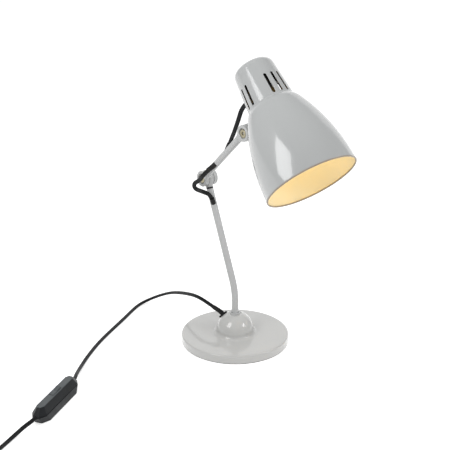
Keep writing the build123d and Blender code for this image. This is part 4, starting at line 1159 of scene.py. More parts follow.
@dataclass
class UpperArm:
    """Straight tube with a hub at each end, both pivots and two sleeves.

    A sleeve's four numbers are its distance from the nearer pivot, its turn, splay and length.
    """

    bones: Skeleton
    tube: Tube = field(default_factory=Tube)
    pivot: Pivot = field(default_factory=Pivot)
    elbow_sleeve: tuple[float, ...] = (47.0, 76.0, 37.4, 17.2)
    shade_sleeve: tuple[float, ...] = (54.0, 200.0, 30.0, 14.0)

    def sleeves(self) -> tuple[Sleeve, Sleeve]:
        """Places the sleeve above the elbow and the one that feeds the shade.

        Returns:
            Both sleeves, the elbow's first.
        """
        frame, length, offset = self.bones.upper, self.bones.upper_length, self.bones.tube_offset
        low = splayed(frame, *self.elbow_sleeve, -1, offset)
        before, *rest = self.shade_sleeve
        return low, splayed(frame, length - before, *rest, 1, offset)

    def build(self) -> None:
        """Makes the arm's tube and both of its joints."""
        bones, pivot, body = self.bones, self.pivot, "upper_arm"
        span = np.linspace(bones.tube_cut, bones.upper_length - bones.tube_cut, 60)[:, None]
        start = bones.upper[:3, 3] + np.array([0, bones.tube_offset, 0])
        tube = self.tube.along(start + span * bones.upper[:3, 2])
        finished("upper_tube", tube, ARM_ENAMEL, body)
        for joint, frame, outward in (("elbow", bones.upper, 1), ("head", bones.upper_end, -1)):
            for part, surface, look, slot in (
                ("hub", pivot.hub_surface(outward), ARM_ENAMEL, "arm_enamel"),
                ("cap_nut", pivot.cap_surface(), ARM_ENAMEL, "arm_enamel"),
                ("washers", pivot.washer_surface(), BLACK_ABS, "black_plastic"),
                ("screw", pivot.screw_surface(), NICKEL_BRASS, "screw_steel"),
            ):
                finished(f"{joint}_{part}", surface.placed(frame), look, body)
            band = self.tube.band(frame, bones.tube_offset, outward)
            finished(f"{joint}_band", band, ARM_ENAMEL, body)
        for name, sleeve in zip(("upper_sleeve", "back_sleeve"), self.sleeves()):
            finished(name, sleeve.surface(), SLEEVE_RUBBER, body)
        dress(FLEX_PVC, "arm_flex")


@dataclass
class Lamp:
    """Lampholder with its ring, the nut on the crown and the bulb, all about the shade's axis.

    Heights are distances from the mouth, and the holder hangs a gap below the crown's sheet.
    """

    shade: np.ndarray
    peak: float
    sheet: float
    nut: float = 5.6
    nut_tall: float = 3.6
    gap: float = 1.2
    holder: float = 18.0
    holder_bore: float = 14.8
    holder_tall: float = 44.0
    holder_roof: float = 7.2
    ring: float = 20.6
    ring_deep: float = 0.4
    ring_span: tuple[float, float] = (6.0, 15.0)
    cap_from: float = 13.0
    cap_tall: float = 25.0
    cap_cone: tuple[tuple[float, float], ...] = ((0.0, 0.0), (6.6, 0.0), (12.2, 3.8))
    cap_foot: float = 12.4
    thread: float = 12.9
    thread_deep: float = 0.45
    thread_from: float = 4.0
    thread_tall: float = 20.4
    bulb_tall: float = 76.0
    globe: float = 27.5
    waist: float = 26.0
    bulb_neck: float = 14.4

    def turned(
        self, node: str, line: np.ndarray, look: Look, closed: bool = False,
        shading: Shading = Shading.EDGED,
    ) -> None:
        """Makes a piece turned about the shade's axis.

        Args:
            node: the node that it replaces.
            line: radius and distance from the mouth along its outline.
            look: its material.
            closed: whether the outline's end meets its start.
            shading: whether corners stay crisp.
        """
        finished(node, revolve(line, 96, closed).placed(self.shade), look, "head", shading)

    def glass(self, cap_low: float) -> np.ndarray:
        """Draws the bulb: a globe's arc, and a hollow arc that touches it and the neck.

        Args:
            cap_low: the cap's lower end.

        Returns:
            Radius and distance from the mouth along the outline.
        """
        centre = cap_low - self.bulb_tall + self.globe
        middle = self.bulb_neck + self.waist
        rise = math.sqrt((self.globe + self.waist) ** 2 - middle**2)
        touch = math.atan2(rise, middle)
        globe = arc(0, centre, self.globe, np.linspace(-math.pi / 2, touch, 50))
        hollow = arc(middle, centre + rise, self.waist, np.linspace(touch + math.pi, math.pi, 16)[1:])
        return np.vstack([globe, hollow, [(self.bulb_neck, cap_low - 0.1), (0, cap_low - 0.1)]])

    def build(self) -> None:
        """Makes the nut, the holder, its ring, the bulb's cap and its glass."""
        peak, crest = self.peak, self.peak + self.nut_tall
        nut = rounded([(0, peak), (self.nut, peak), (self.nut, crest, 2.2), (0, crest)], 8)
        self.turned("cap_nut", nut, ZINC_STEEL)
        top = peak - self.sheet - self.gap
        low, roof = top - self.holder_tall, top - self.holder_roof
        wall = [(self.holder, top, 6), (self.holder, low, 0.6), (self.holder_bore, low, 0.6)]
        body = rounded([(0, top), *wall, (self.holder_bore, roof, 1), (0, roof)])
        self.turned("lampholder", body, HOLDER_THERMOSET)
        start, end = low + self.ring_span[0], low + self.ring_span[1]
        h = np.linspace(0, 1, 55)
        waves = np.column_stack([self.ring + self.ring_deep * np.cos(h * 5 * TAU), start + h * (end - start)])
        inside = self.holder + 0.05
        ring = np.vstack([[(inside, start)], waves, [(inside, end)]])
        self.turned("holder_ring", ring, HOLDER_THERMOSET, closed=True)
        cap_top = top - self.cap_from
        cap_low = cap_top - self.cap_tall
        h = np.linspace(0, 1, 90)
        around = self.thread + self.thread_deep * np.cos(h * 6 * TAU)
        thread = np.column_stack([around, cap_top - self.thread_from - h * self.thread_tall])
        cone = [(r, cap_top - drop) for r, drop in self.cap_cone]
        cap = np.vstack([cone, thread, [(self.cap_foot, cap_low), (0, cap_low)]])
        self.turned("bulb_cap", cap, BULB_ALUMINIUM)
        lit = replace(FROSTED_BULB, mouth=tuple(self.shade[:3, 3]))
        self.turned("bulb_glass", self.glass(cap_low), lit, shading=Shading.SMOOTH)


@dataclass
class Shade:
    """Spun bell with a vented neck, rolled rim, bracket and lamp."""

    bones: Skeleton
    mouth: float = 64.4
    shoulder_s: float = 110.0
    shoulder_r: float = 39.4
    neck_s: float = 118.8
    neck_r: float = 32.9
    cap_s: float = 178.6
    cap_r: float = 27.7
    crown: float = 4.6
    crown_hole: float = 5.0
    cap_round: float = 10.5
    root_round: float = 4.0
    sheet: float = 0.8
    rim: float = 1.1
    vent_low: float = 121.5
    vent_high: float = 152.5
    vent_wide: float = 4.2
    vent_phase: float = -2.5
    vents: tuple[float, ...] = (-22.5, -2.5, 17.5, 97.5, 117.5, 137.5, -82.5, -102.5, -122.5)
    sectors: int = 18
    columns: int = 10
    rows: int = 24

    @property
    def band(self) -> tuple[float, float]:
        """Low and high edges of the neck's vented band."""
        return self.vent_low - 1.0, self.vent_high + 4

    def neck_radius(self, s: np.ndarray | float) -> np.ndarray | float:
        """Radius of the neck's straight taper at a distance from the mouth."""
        return self.neck_r + (self.cap_r - self.neck_r) * (s - self.neck_s) / (self.cap_s - self.neck_s)

    def bell(self) -> np.ndarray:
        """Draws the bell from its mouth to the neck's root.

        The bell is a circle's arc that is square to the mouth, and a second arc leaves it
        smoothly at the shoulder and meets the neck.

        Returns:
            Radius and height along the outside.
        """
        drop = self.mouth - self.shoulder_r
        big = (drop**2 + self.shoulder_s**2) / (2 * drop)
        centre = self.mouth - big
        last = math.atan2(self.shoulder_s, self.shoulder_r - centre)
        flank = arc(centre, 0, big, np.linspace(0, last, 72))
        way = np.array([-math.sin(last), math.cos(last)])
        chord = np.array([self.neck_r - self.shoulder_r, self.neck_s - self.shoulder_s])
        bend = math.atan2(way[0] * chord[1] - way[1] * chord[0], way @ chord)
        radius = float(np.linalg.norm(chord)) / (2 * math.sin(bend))
        middle = flank[-1] + radius * np.array([-way[1], way[0]])
        spin = np.linspace(0, 2 * bend, 14)[1:-1]
        x, y = flank[-1] - middle
        c, s = np.cos(spin), np.sin(spin)
        shoulder = middle + np.column_stack([x * c - y * s, x * s + y * c])
        foot, tip = (self.neck_r, self.neck_s), (self.cap_r, self.cap_s)
        root = round_corner(shoulder[-1], foot, tip, self.root_round, 8)
        return np.vstack([flank, shoulder[shoulder[:, 1] < root[0][1]], root])

    def top(self) -> np.ndarray:
        """Draws the neck above its vents, the rounded corner and the crown, an arc of a sphere.

        Returns:
            Radius and height along the outside.
        """
        crown_r = (self.cap_r**2 + self.crown**2) / (2 * self.crown)
        sag = np.linspace(self.cap_r, self.crown_hole, 16)
        height = self.cap_s + self.crown - crown_r + np.sqrt(crown_r**2 - sag**2)
        dome = np.column_stack([sag, height])
        foot, tip = (self.neck_r, self.neck_s), (self.cap_r, self.cap_s)
        corner = round_corner(foot, tip, dome[3], self.cap_round, 14)
        edge = (self.neck_radius(self.band[1]), self.band[1])
        return np.vstack([[edge], corner, dome[dome[:, 0] < corner[-1][0] - 0.5]])

    def vent_sector(self, middle: float, open_vent: bool) -> Surface:
        """Fills one sector of the vented band, round its slot where it has one.

        Each row of points runs from the sector's rectangle to the slot's rounded outline: the
        point is a mix of the two, by the share of the way in.

        Args:
            middle: the sector's middle angle in degrees.
            open_vent: whether the sector has a slot.

        Returns:
            The sector's surface.
        """
        half = math.pi / self.sectors
        (low, high), wide, tall = self.band, self.columns, self.rows
        across, up = np.linspace(-half, half, wide + 1), np.linspace(low, high, tall + 1)
        if not open_vent:
            angle, s = np.meshgrid(across, up)
            return self.on_neck(np.stack([angle, s], axis=-1), math.radians(middle), False)
        sides = (
            (across[:-1], np.full(wide, low)),
            (np.full(tall, half), up[:-1]),
            (across[:0:-1], np.full(wide, high)),
            (np.full(tall, -half), up[:0:-1]),
        )
        edge = np.vstack([np.column_stack(side) for side in sides])
        mid_s, r = (self.vent_low + self.vent_high) / 2, self.vent_wide / 2
        reach = (self.vent_high - self.vent_low) / 2 - r
        flat = (edge[:, 1] > low + 1e-6) & (edge[:, 1] < high - 1e-6)
        end = np.sign(edge[:, 1] - mid_s)
        spine = np.where(flat, -reach + 2 * reach * (edge[:, 1] - low) / (high - low), end * reach)
        lean = edge[:, 0] / half * math.pi / 2
        out_x = np.where(flat, np.sign(edge[:, 0]), np.sin(lean))
        out_s = np.where(flat, 0, end * np.cos(lean))
        slot = np.column_stack([out_x * r / self.neck_radius(mid_s), mid_s + spine + out_s * r])
        t = np.linspace(0, 1, 7)[:, None, None] ** 0.8
        return self.on_neck((1 - t) * edge + t * slot, math.radians(middle), True)

    def on_neck(self, spots: np.ndarray, middle: float, wrap: bool) -> Surface:
        """Lays angle and height pairs on the neck's cone.

        Args:
            spots: angle and distance from the mouth, rows by columns by two.
            middle: the angle that they are counted from.
            wrap: whether the columns close.

        Returns:
            The surface.
        """
        angle, s = spots[..., 0] + middle, spots[..., 1]
        r = self.neck_radius(s)
        return grid(np.stack([r * np.cos(angle), r * np.sin(angle), s], axis=-1), wrap_columns=wrap)

    def shell(self) -> None:
        """Makes the spun shell: one skin, given its wall inwards, white inside and painted dark shade in the
        neck.
        """
        around = self.sectors * self.columns
        first = math.radians(self.vent_phase) - math.pi / self.sectors
        below = np.vstack([self.bell(), [(self.neck_radius(self.band[0]), self.band[0])]])
        surface = revolve(below, around, first=first) + revolve(self.top(), around, first=first)
        for i in range(self.sectors):
            middle = (self.vent_phase + i * 360 / self.sectors + 180) % 360 - 180
            surface += self.vent_sector(middle, middle in self.vents)
        surface, slot = surface.placed(self.bones.shade), "shade_enamel"
        shell = make_piece("shade_shell", surface, SHADE_ENAMEL, "head", ["shade"], Shading.SMOOTH)
        # The wall's inner faces take the material one place on: white below the neck, painted dark shade in
        # it
        painted(shell.data, SHADE_ENAMEL, INNER_ENAMEL, SHADE_ENAMEL, NECK_PAINTED_SHADE)
        middles = np.array([face.center for face in shell.data.polygons]) / MM
        along = (middles - self.bones.shade[:3, 3]) @ self.bones.shade[:3, 2]
        shell.data.polygons.foreach_set("material_index", np.where(along > self.neck_s, 2, 0))
        wall = shell.modifiers.new("sheet", "SOLIDIFY")
        wall.thickness, wall.offset, wall.use_even_offset = self.sheet * MM, -1.0, True
        wall.material_offset, wall.material_offset_rim = 1, 0

    def build(self) -> None:
        """Makes the shade and everything that moves with it."""
        self.shell()
        turn = np.linspace(0, TAU, 20, endpoint=False)
        bead = revolve(arc(self.mouth - self.rim + 0.25, self.rim * 0.2, self.rim, turn), 192, closed=True)
        ring = bead.placed(self.bones.shade)
        # The rim's dark warm line is painted shade and a painted reflection of the lit inside
        make_piece("shade_rim", ring, BEAD_PAINTED_SHADE, "head", shading=Shading.SMOOTH)
        Lamp(self.bones.shade, self.cap_s + self.crown, self.sheet).build()
        refined("shade_bracket", ARM_ENAMEL, "head", bevel=0.5)
        refined("bracket_screws", ZINC_STEEL, "head", bevel=0.2)
        refined("neck_bushing", GREY_NYLON, "head", bevel=0.3)
        dress(ZINC_STEEL, "bracket_nuts", "holder_nipple")


@dataclass
class LinkCables:
    """The two loops of flat flex that cross the joints.

    Each runs straight past its sleeves, by sleeve_out, and the one to the shade enters the neck
    through three points on the bushing's axis, at the distances neck_span outside it.
    """

    lower: LowerArm
    upper: UpperArm
    shade: Shade
    width: float = 6.4
    thick: float = 3.8
    entry_s: float = 148.0
    entry_tilt: float = 8.0
    elbow_route: tuple[Point, ...] = (
        (-54.0, -16.8, 223.0), (-67.0, -23.4, 225.8), (-67.0, -24.6, 234.5), (-56.0, -22.2, 241.0)
    )
    elbow_twist: tuple[float, ...] = (105, 138, 160, 145)
    head_route: tuple[Point, ...] = ((2.5, -5.2, 322.0), (9.3, -3.4, 340.0), (13.8, -1.0, 357.0))
    head_twist: tuple[float, ...] = (180, 160, 140, 150)
    sleeve_out: tuple[float, float] = (7.0, 7.5)
    neck_span: tuple[float, float, float] = (11.0, 2.0, -6.0)

    def neck_point(self, out: float) -> np.ndarray:
        """Works out a point on the neck bushing's tilted axis: it rises by out times tan of the tilt.

        Args:
            out: how far outside the neck.

        Returns:
            The point in the lamp's frame.
        """
        rise = out * math.tan(math.radians(self.entry_tilt))
        r = self.shade.neck_radius(self.entry_s) + out
        return (self.shade.bones.shade @ np.array([-r, 0, self.entry_s + rise, 1]))[:3]

    def build(self) -> None:
        """Makes both loops, each on no body and fixed where it is made."""
        low, (high, back) = self.lower.sleeve(), self.upper.sleeves()
        first, second = self.sleeve_out
        points = [low.root, low.beyond(first), *self.elbow_route, high.beyond(second), high.root]
        self.loop("elbow_cable", points, self.elbow_twist)
        outer, entry, inner = (self.neck_point(out) for out in self.neck_span)
        points = [back.root, back.beyond(second), *self.head_route, outer, inner]
        self.loop("head_cable", points, self.head_twist)

    def loop(
        self, node: str, points: Sequence[Sequence[float]], twist: Sequence[float],
    ) -> None:
        """Makes one loop along its route.

        Args:
            node: the node that it replaces.
            points: the route.
            twist: the flex's turn at four places along it, in degrees.
        """
        line = smooth_line(points, 0.8)
        turn = steps_between(*zip((0, 0.35, 0.65, 1), twist))
        surface = carried(line, flex_section(self.width, self.thick, turn), up=(0.2, 1, 0.1))
        piece = finished(node, surface, FLEX_PVC, None, Shading.SMOOTH)
        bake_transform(piece)


@dataclass
class Switch:
    """Inline switch: a charcoal case with a paler strip, and the rocker in the strip's grey.

    The groove's numbers are steps in from the case's side and away from the parting line, and
    the slopes are shares of the way from the parting line to the top.
    """

    far: tuple[float, float] = (-23.0, -262.9)
    near: tuple[float, float] = (34.8, -352.1)
    part_z: float = 11.0
    top_z: float = 21.5
    wide_z: float = 2.0
    half_wide: float = 10.8
    top_wide: float = 5.2
    foot_wide: float = 12.3
    taper: float = 10.0
    nose: float = 4.6
    top_inset: float = 9.5
    foot_inset: float = 5.5
    eased: float = 1.4
    slopes: tuple[float, ...] = (0.05, 0.09, 0.5, 0.95)
    groove: tuple[tuple[float, float], ...] = ((1.9, 0.35), (0.35, 0.4), (0.0, 0.8))
    well: float = 3.0
    slot: tuple[float, float] = (10.9, 3.45)
    slot_deep: float = 5.0

    def __post_init__(self) -> None:
        """Works out the switch's own frame, its x along the lead."""
        far, near = np.array(self.far), np.array(self.near)
        self.length = float(np.linalg.norm(near - far)) / 2
        way = (near - far) / (2 * self.length)
        self.frame = np.eye(4)
        self.frame[:2, 0], self.frame[:2, 1] = way, (-way[1], way[0])
        self.frame[:2, 3] = (far + near) / 2

    def point(self, x: float) -> np.ndarray:
        """Point on the parting line's level in the switch's middle, in the lamp's frame."""
        return (self.frame @ np.array([x, 0, self.part_z, 1]))[:3]

    def ring(self, half_length: float, half_width: float, z: float) -> np.ndarray:
        """Long octagon with eased corners at one height.

        Args:
            half_length: half its length.
            half_width: half its width.
            z: its height.

        Returns:
            Forty points round it.
        """
        scale = half_width / self.half_wide
        tail, nose = half_length - self.taper * scale, self.nose * scale
        right = [(tail, -half_width), (half_length, -nose), (half_length, nose), (tail, half_width)]
        corners = [np.array(c) for c in right] + [-np.array(c) for c in right]
        ease = self.eased * min(scale, 1)
        arcs = [round_corner(corners[i - 1], corners[i], corners[(i + 1) % 8], ease, 4) for i in range(8)]
        flat = np.vstack(arcs)
        return np.column_stack([flat, np.full(len(flat), z)])

    def inset(self, by: float, z: float) -> np.ndarray:
        """Octagon this far inside the parting line's."""
        return self.ring(self.length - by, self.half_wide - by, z)

    def sloped(self, share: float) -> np.ndarray:
        """Draws the octagon a share of the way up the upper half's slope.

        Args:
            share: 0 at the parting line and 1 at the strip.

        Returns:
            Forty points round it.
        """
        half_width = self.half_wide + share * (self.top_wide - self.half_wide)
        z = self.part_z + share * (self.top_z - self.part_z)
        return self.ring(self.length - share * self.top_inset, half_width, z)

    def closing(self, z: float) -> np.ndarray:
        """Forty points in one place on the axis, which close a surface."""
        return np.repeat([[0, 0, z]], 40, axis=0)

    def slot_ring(self, z: float, shrink: float = 0.0) -> np.ndarray:
        """The rocker's opening, with as many points as the octagon and in the same order."""
        x, y = self.slot[0] - shrink, self.slot[1] - shrink
        return np.repeat([(x, -y, z), (x, y, z), (-x, y, z), (-x, -y, z)], 10, axis=0)

    def case_top(self) -> Surface:
        """Draws the upper half from the parting line to the strip and down into its well.

        Returns:
            The upper half's surface.
        """
        low, floor = self.part_z, self.part_z + self.well
        high = low + self.slopes[-1] * (self.top_z - low)
        length, width = self.length - self.top_inset - 1, self.top_wide - 0.8
        slope = [self.sloped(share) for share in self.slopes]
        well = [self.ring(length, width, high), self.ring(length, width, floor), self.closing(floor)]
        groove = [self.inset(by, low + rise) for by, rise in self.groove[:2]]
        return grid(np.array([self.closing(floor), *groove, *slope, *well]))

    def strip(self) -> Surface:
        """Draws the paler strip on top, with the rocker's opening.

        Returns:
            The strip's surface.
        """
        length, top = self.length - self.top_inset, self.top_z
        start = self.sloped(0.93)
        skirt = start - (0, 0, start[0][2] - top + 6)
        flat = self.ring(length - 0.45, self.top_wide - 0.4, top)
        edge = [self.ring(length + 0.1, self.top_wide, top - 0.25), flat]
        floor = top - self.slot_deep
        slot = [self.slot_ring(top, -0.15), self.slot_ring(top - 0.25), self.slot_ring(floor)]
        return grid(np.array([self.closing(top - 6), skirt, start, *edge, *slot, self.closing(floor)]))

    def case_bottom(self) -> Surface:
        """Draws the lower half from the parting line to the foot.

        Returns:
            The lower half's surface.
        """
        low, length, foot, wide = self.part_z, self.length - self.foot_inset, self.foot_wide, self.wide_z
        groove = [self.inset(by, low - drop) for by, drop in self.groove]
        flank = [self.ring(length + 0.2, foot - 0.05, wide + 0.6), self.ring(length, foot, wide)]
        sole = [self.ring(length - 0.5, foot - 0.5, 0.6), self.ring(length - 1.2, foot - 1.2, 0.05)]
        return grid(np.array([self.closing(low - self.well), *groove, *flank, *sole, self.closing(0.05)]))

    def build(self) -> list[bpy.types.Object]:
        """Makes the case, the strip and the rocker.

        Returns:
            The pieces that sit on the lead.
        """
        drawn = self.case_top(), self.strip(), self.case_bottom()
        top, strip, bottom = (part.placed(self.frame) for part in drawn)
        return [
            finished("switch_top", top, SWITCH_ABS, "base"),
            make_piece("switch_strip", strip, TOP_ABS, "base"),
            finished("switch_bottom", bottom, SWITCH_ABS, "base"),
            refined("switch_rocker", TOP_ABS, "rocker", bevel=0.5),
            *dress(ZINC_STEEL, "switch_pin", "switch_screws"),
            *dress(NICKEL_BRASS, "switch_contacts"),
        ]


@dataclass
class MainsLead:
    """Flat flex from the dome to the switch, then to a tied coil and the plug.

    The flange's corners are radius and height over the dome. The tie's section gives each edge's
    place across the band and its height over the band's inside, and tie_room is what the band
    leaves free inside the coil, outside it, and above and below.
    """

    base: Base
    switch: Switch = field(default_factory=Switch)
    width: float = 5.5
    thick: float = 3.4
    azimuth: float = 204.0
    rise: float = 45.0
    relief: float = 3.5
    relief_taper: float = 0.2
    relief_groove: float = 0.25
    flange: tuple[tuple[float, ...], ...] = (
        (0, -2.2), (7.1, -2.2), (7.1, 1.7, 0.8), (4.6, 1.7, 0.3), (0, 1.75)
    )
    tip: Point = (-34.5, -13.5, 44.6)
    route: tuple[Point, ...] = (
        (-53.0, -15.4, 48.4), (-76.0, -15.6, 49.0), (-104.0, -12.0, 42.0), (-131.0, -8.6, 33.4),
        (-158.0, -7.0, 23.6), (-178.5, -13.0, 13.6), (-189.0, -28.0, 6.5), (-190.0, -45.0, 2.9),
        (-181.5, -63.0, 2.0), (-158.0, -99.0, 2.0), (-134.5, -137.5, 2.0), (-111.5, -172.5, 2.0),
        (-84.0, -207.0, 2.0), (-60.3, -231.3, 4.0), (-44.5, -245.0, 7.5), (-33.3, -254.1, 10.2),
    )
    beyond: tuple[Point, ...] = (
        (39.6, -370.5, 7.8), (43.6, -384.0, 4.4), (50.5, -398.5, 3.0), (60.0, -415.5, 3.0)
    )
    coil_centre: Point = (40.5, -460.0, 0.0)
    coil_start: float = 27.0
    coil_radius: float = 38.0
    pitch: float = 6.6
    half_turns: int = 5
    layer_z: tuple[float, float] = (2.9, 6.8)
    run_out: float = 17.6
    tail_end: tuple[float, float] = (-10.5, -442.5)
    plug_z: float = 6.9
    plug_heading: float = 121.0
    plug_steps: tuple[float, float] = (12.0, 16.0)
    tie_heading: float = 290.0
    tie_room: tuple[float, float, float] = (0.4, 0.9, 0.12)
    tie_section: tuple[tuple[float, float], ...] = (
        (-4, 0.0), (-4, 0.65), (-3.7, 0.8), (3.7, 0.8), (4, 0.65), (4, 0.0)
    )

    def bushing(self) -> bpy.types.Object:
        """Makes the bushing's flange and its bent, ribbed relief.

        The relief's middle is a cubic that leaves the dome square to it and reaches its tip
        along the lead; its radius tapers and is notched across by short grooves.

        Returns:
            The bushing's object.
        """
        level = math.radians(self.rise)
        n = np.array([0, 0, math.sin(level)]) + math.cos(level) * toward(self.azimuth)
        foot = np.array([0, 0, self.base.dome_z]) + n * self.base.dome
        flange = revolve(rounded(self.flange, 5), 64).placed(frame_along(foot, n))
        start, tip = foot + n * 1.2, np.array(self.tip)
        away = np.array(self.route[0]) - tip
        away, reach = away / np.linalg.norm(away), np.linalg.norm(tip - start)
        t = np.linspace(0, 1, 70)[:, None]
        path = (2 * t**3 - 3 * t**2 + 1) * start + (t**3 - 2 * t**2 + t) * n * reach
        path = path + (3 * t**2 - 2 * t**3) * tip + (t**3 - t**2) * away * reach

        def radius(share: np.ndarray) -> np.ndarray:
            """Taper with grooves over its outer part."""
            grooved = (np.sin(share * 6 * TAU) > 0.55) * (share > 0.25) * (share < 0.93)
            return self.relief - self.relief_taper * share - self.relief_groove * grooved

        surface = flange + carried(path, round_section(radius, 40))
        return finished("lead_bushing", surface, SLEEVE_RUBBER, "base")

    def coil_points(self) -> tuple[list[np.ndarray], np.ndarray]:
        """Winds the coil clockwise in on the table, up a layer, and out again on top.

        Every half turn is eight points on a half circle whose centre shifts by half the
        pitch, so that the turns stay a pitch apart. The points lie 1.2 percent outside it,
        because the spline runs inside them.

        Returns:
            The control points, and the way that the lead leaves the coil.
        """
        low, high = self.layer_z
        inward = [self.coil_radius - i * self.pitch / 2 for i in range(self.half_turns)]
        climb = inward[-1] - self.pitch / 2
        outward = [climb + (i + 1) * self.pitch / 2 for i in range(self.half_turns)]
        angle, z = self.coil_start, low
        spot = np.array(self.coil_centre) + self.coil_radius * toward(angle)
        points = [spot - toward(angle - 90) * before + (0, 0, low) for before in (18, 6)]
        for i, radius in enumerate([*inward, climb, *outward]):
            out = toward(angle)
            lift = high - low if i == len(inward) else 0.0
            share = (np.arange(8) + 0.5)[:, None] / 8
            swing = np.radians(angle) - share * math.pi
            turn = spot - out * radius + 1.012 * radius * np.hstack([np.cos(swing), np.sin(swing), 0 * swing])
            turn[:, 2] = (z + lift * share)[:, 0]
            points.extend(turn)
            spot, z, angle = spot - out * 2 * radius, z + lift, angle + 180
        way = toward(angle - 90)
        return [*points, spot + way * 6 + (0, 0, z)], way

    def flex(self, name: str, line: np.ndarray, twist: Along, nodes: Sequence[str]) -> bpy.types.Object:
        """Carries the flex's section along a line.

        Args:
            name: the piece's name.
            line: points along its middle.
            twist: the section's turn in degrees along it.
            nodes: the nodes that it replaces.

        Returns:
            The flex's object.
        """
        surface = carried(line, flex_section(self.width, self.thick, twist))
        return make_piece(name, surface, FLEX_PVC, "base", nodes, Shading.SMOOTH)

    def build(self) -> None:
        """Makes the bushing, both lengths of flex, the switch, the coil's tie and the plug."""
        bushing = self.bushing()
        entry = [self.switch.point(x - self.switch.length) for x in (-2, 6)]
        line = smooth_line([self.tip, *self.route, *entry])
        twist = steps_between((0, 55), (0.12, 65), (0.36, 10), (0.9, 0), (1, 0))
        lead = self.flex("mains_lead_finished", line, twist, ["mains_lead"])
        pieces = [bushing, *self.switch.build()]
        leaving = [self.switch.point(x + self.switch.length) for x in (-6, 5)]
        coil, way = self.coil_points()
        tail, axis = np.array([*self.tail_end, self.plug_z]), toward(self.plug_heading)
        plug_points = [tail, *(tail + axis * step for step in self.plug_steps)]
        line = smooth_line([*leaving, *self.beyond, *coil, coil[-1] + way * self.run_out, *plug_points])
        twist = steps_between((0, 0), (0.02, 60), (0.06, 70), (0.1, 0), (0.96, 0), (1, 0))
        spare = self.flex("spare_lead_finished", line, twist, ["switch_lead", "mains_coil", "plug_tail"])
        plug = refined("plug_body", BLACK_ABS, "base", bevel=0.6)
        pins = refined("plug_pins", NICKEL_BRASS, "base")
        pieces = [self.tie(), plug, pins]

    def tie(self) -> bpy.types.Object:
        """Makes the flat band round the coil's bundle.

        Its outline is a rounded box round both layers, and the band has a wall 0.8 mm thick
        and eased edges.

        Returns:
            The tie's object.
        """
        half, (within, without, over) = self.width / 2, self.tie_room
        inner = self.coil_radius - (self.half_turns + 1) * self.pitch / 2 - half - within
        outer = self.coil_radius + half + without
        low, high = self.layer_z[0] - self.thick / 2 - over, self.layer_z[1] + self.thick / 2 + over
        rows = []
        for side, wall in self.tie_section:
            left, right, floor, roof = inner - wall, outer + wall, low - wall, high + wall
            box = [(left, floor), (right, floor), (right, roof), (left, roof)]
            ease = 1.9 + wall
            spot = np.vstack([round_corner(box[i - 1], box[i], box[(i + 1) % 4], ease, 6) for i in range(4)])
            rows.append(np.column_stack([spot[:, 0], np.full(len(spot), side), spot[:, 1]]))
        place = frame_along(self.coil_centre, (0, 0, 1), side=toward(self.tie_heading))
        surface = grid(np.array(rows), wrap_rows=True).placed(place)
        return finished("coil_tie", surface, BLACK_ABS, "base")


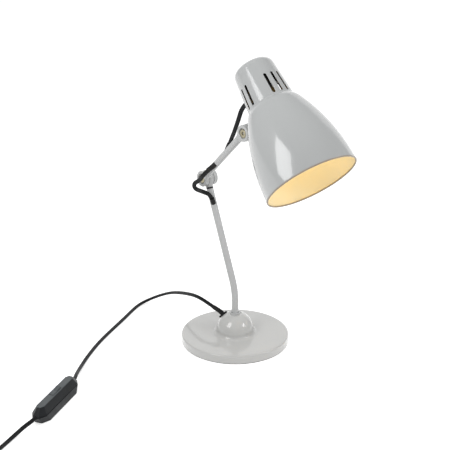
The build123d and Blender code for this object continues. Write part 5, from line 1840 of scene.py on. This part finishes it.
@dataclass
class Studio:
    """Floor, backdrop, lamps and camera, with places in metres."""

    camera_at: Point = (1.05937, -0.84529, 0.67909)
    right: Point = (0.61497, 0.78855, 0.0)
    ahead: Point = (-0.74057, 0.57756, -0.34350)
    lens: float = 80.0
    floor_near: float = -2.5
    floor_far: float = 6.0
    floor_bend: float = 3.2
    bend_radius: float = 1.2
    half_floor: float = 4.0

    def camera(self) -> None:
        """Puts the camera where the photograph was taken from."""
        data = bpy.data.cameras.new("view")
        data.lens, data.sensor_width, data.sensor_fit, data.clip_end = self.lens, 36.0, "HORIZONTAL", 20.0
        camera = linked("view", data)
        matrix = shifted(self.camera_at)
        z = -np.array(self.ahead)
        x = np.array(self.right)
        y = np.cross(z, x)
        matrix[:3, 0], matrix[:3, 1], matrix[:3, 2] = x, y / np.linalg.norm(y), z / np.linalg.norm(z)
        camera.matrix_world = Matrix(matrix.tolist())
        bpy.context.scene.camera = camera

    def backdrop(self) -> bpy.types.Material:
        """Matt white paper that the camera and mirrors see near white, with its shadows kept.

        Returns:
            The paper's material.
        """
        material, place = begun("white_studio_paper")
        grain = add_node(material, "TexNoise", Vector=place, Scale=1 / (2 * MM)).outputs["Fac"]
        bump = add_node(material, "Bump", Height=grain, Strength=0.02, Distance=0.1 * MM).outputs["Normal"]
        paper = add_node(material, "BsdfDiffuse", Color=(0.82, 0.82, 0.82, 1.0), Normal=bump)
        seen = add_node(material, "LightPath").outputs
        rays = {"in0": seen["Is Camera Ray"], "in1": seen["Is Glossy Ray"]}
        either = add_node(material, "Math", {"operation": "MAXIMUM"}, **rays).outputs[0]
        level = add_node(material, "Math", {"operation": "MULTIPLY"}, in0=either, in1=0.6).outputs[0]
        glow = add_node(material, "Emission", Color=(1.0, 1.0, 1.0, 1.0), Strength=level)
        both = add_node(material, "AddShader", in0=paper.outputs[0], in1=glow.outputs[0])
        add_node(material, "OutputMaterial", Surface=both.outputs[0])
        return material

    def floor(self) -> None:
        """Lays a floor that curves up on a quarter circle into a backdrop far behind the lamp."""
        reach = np.linspace(self.floor_near, self.floor_far, 60)
        past, radius = reach - self.floor_bend, self.bend_radius
        turn = np.clip(past / radius, 0, math.pi / 2)
        run = np.where(past < 0, reach, self.floor_bend + radius * np.sin(turn))
        above = np.clip(past - radius * math.pi / 2, 0, 4) * 3
        lift = np.where(past < 0, 0.0, radius * (1 - np.cos(turn))) + above
        across = np.linspace(-self.half_floor, self.half_floor, 9)
        way = np.array([self.ahead[0], self.ahead[1]])
        way /= np.linalg.norm(way)
        spots = run[:, None, None] * way + across[None, :, None] * np.array([-way[1], way[0]])
        points = np.concatenate([spots, np.repeat(lift[:, None, None], len(across), axis=1)], axis=-1)
        mesh = grid(points / MM, wrap_columns=False).mesh("studio_floor")
        mesh.polygons.foreach_set("use_smooth", np.ones(len(mesh.polygons), bool))
        mesh.materials.append(self.backdrop())
        linked("studio_floor", mesh)

    def lamp(
        self, name: str, place: Point, size: tuple[float, float], power: float, aim: Point, mirrored: bool
    ) -> None:
        """Hangs one white soft box.

        Args:
            name: its name.
            place: where it hangs.
            size: its width and height.
            power: its power in watts.
            aim: the point that it faces.
            mirrored: whether glossy surfaces show it.
        """
        data = bpy.data.lights.new(name, "AREA")
        data.shape, data.size, data.size_y, data.energy = "RECTANGLE", *size, power
        light = linked(name, data)
        back = np.array(place) - np.array(aim)
        light.matrix_world = Matrix(frame_along(place, back, side=np.cross((0, 0, 1), back)).tolist())
        light.visible_camera, light.visible_glossy = False, mirrored

    def build(self) -> None:
        """Sets up the floor, the sky, the lamps and the camera."""
        self.camera()
        self.floor()
        world = bpy.data.worlds.new("studio_air")
        world.use_nodes = True
        world.node_tree.nodes.clear()
        seen = add_node(world, "LightPath").outputs["Is Camera Ray"]
        white = (1.0, 1.0, 1.0, 1.0)
        even, bright = (add_node(world, "Background", Color=white, Strength=level) for level in (0.5, 1.0))
        mixed = add_node(world, "MixShader", in0=seen, in1=even.outputs[0], in2=bright.outputs[0])
        add_node(world, "OutputWorld", Surface=mixed.outputs[0])
        bpy.context.scene.world = world
        self.lamp("left_soft_box", (0.035, -0.58, 0.6), (0.28, 0.46), 2.0, (0.05, 0, 0.5), True)
        self.lamp("right_soft_box", (0.72, 0.47, 0.58), (0.24, 0.24), 1.2, (0, 0, 0.05), True)
        self.lamp("ceiling", (0.2, 0.1, 2.6), (2.4, 2.4), 27, (0, 0, 0), False)
        self.lamp("mouth_fill", (0.47, 0.14, 0.07), (0.1, 0.1), 0.28, (0.12, -0.03, 0.32), False)
        bpy.context.scene.view_settings.view_transform = "Standard"


def main() -> None:
    """Builds the studio, then the lamp's pieces in order."""
    logging.basicConfig(level=logging.INFO, format="%(name)s: %(message)s")
    Studio().build()
    base, bones = Base(), Skeleton()
    lower, upper, shade = LowerArm(bones), UpperArm(bones), Shade(bones)
    for part in (MainsLead(base), base, lower, upper, LinkCables(lower, upper, shade), shade):
        part.build()
    LOG.info("all pieces are made")


if __name__ == "__main__":
    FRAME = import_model()
    main()
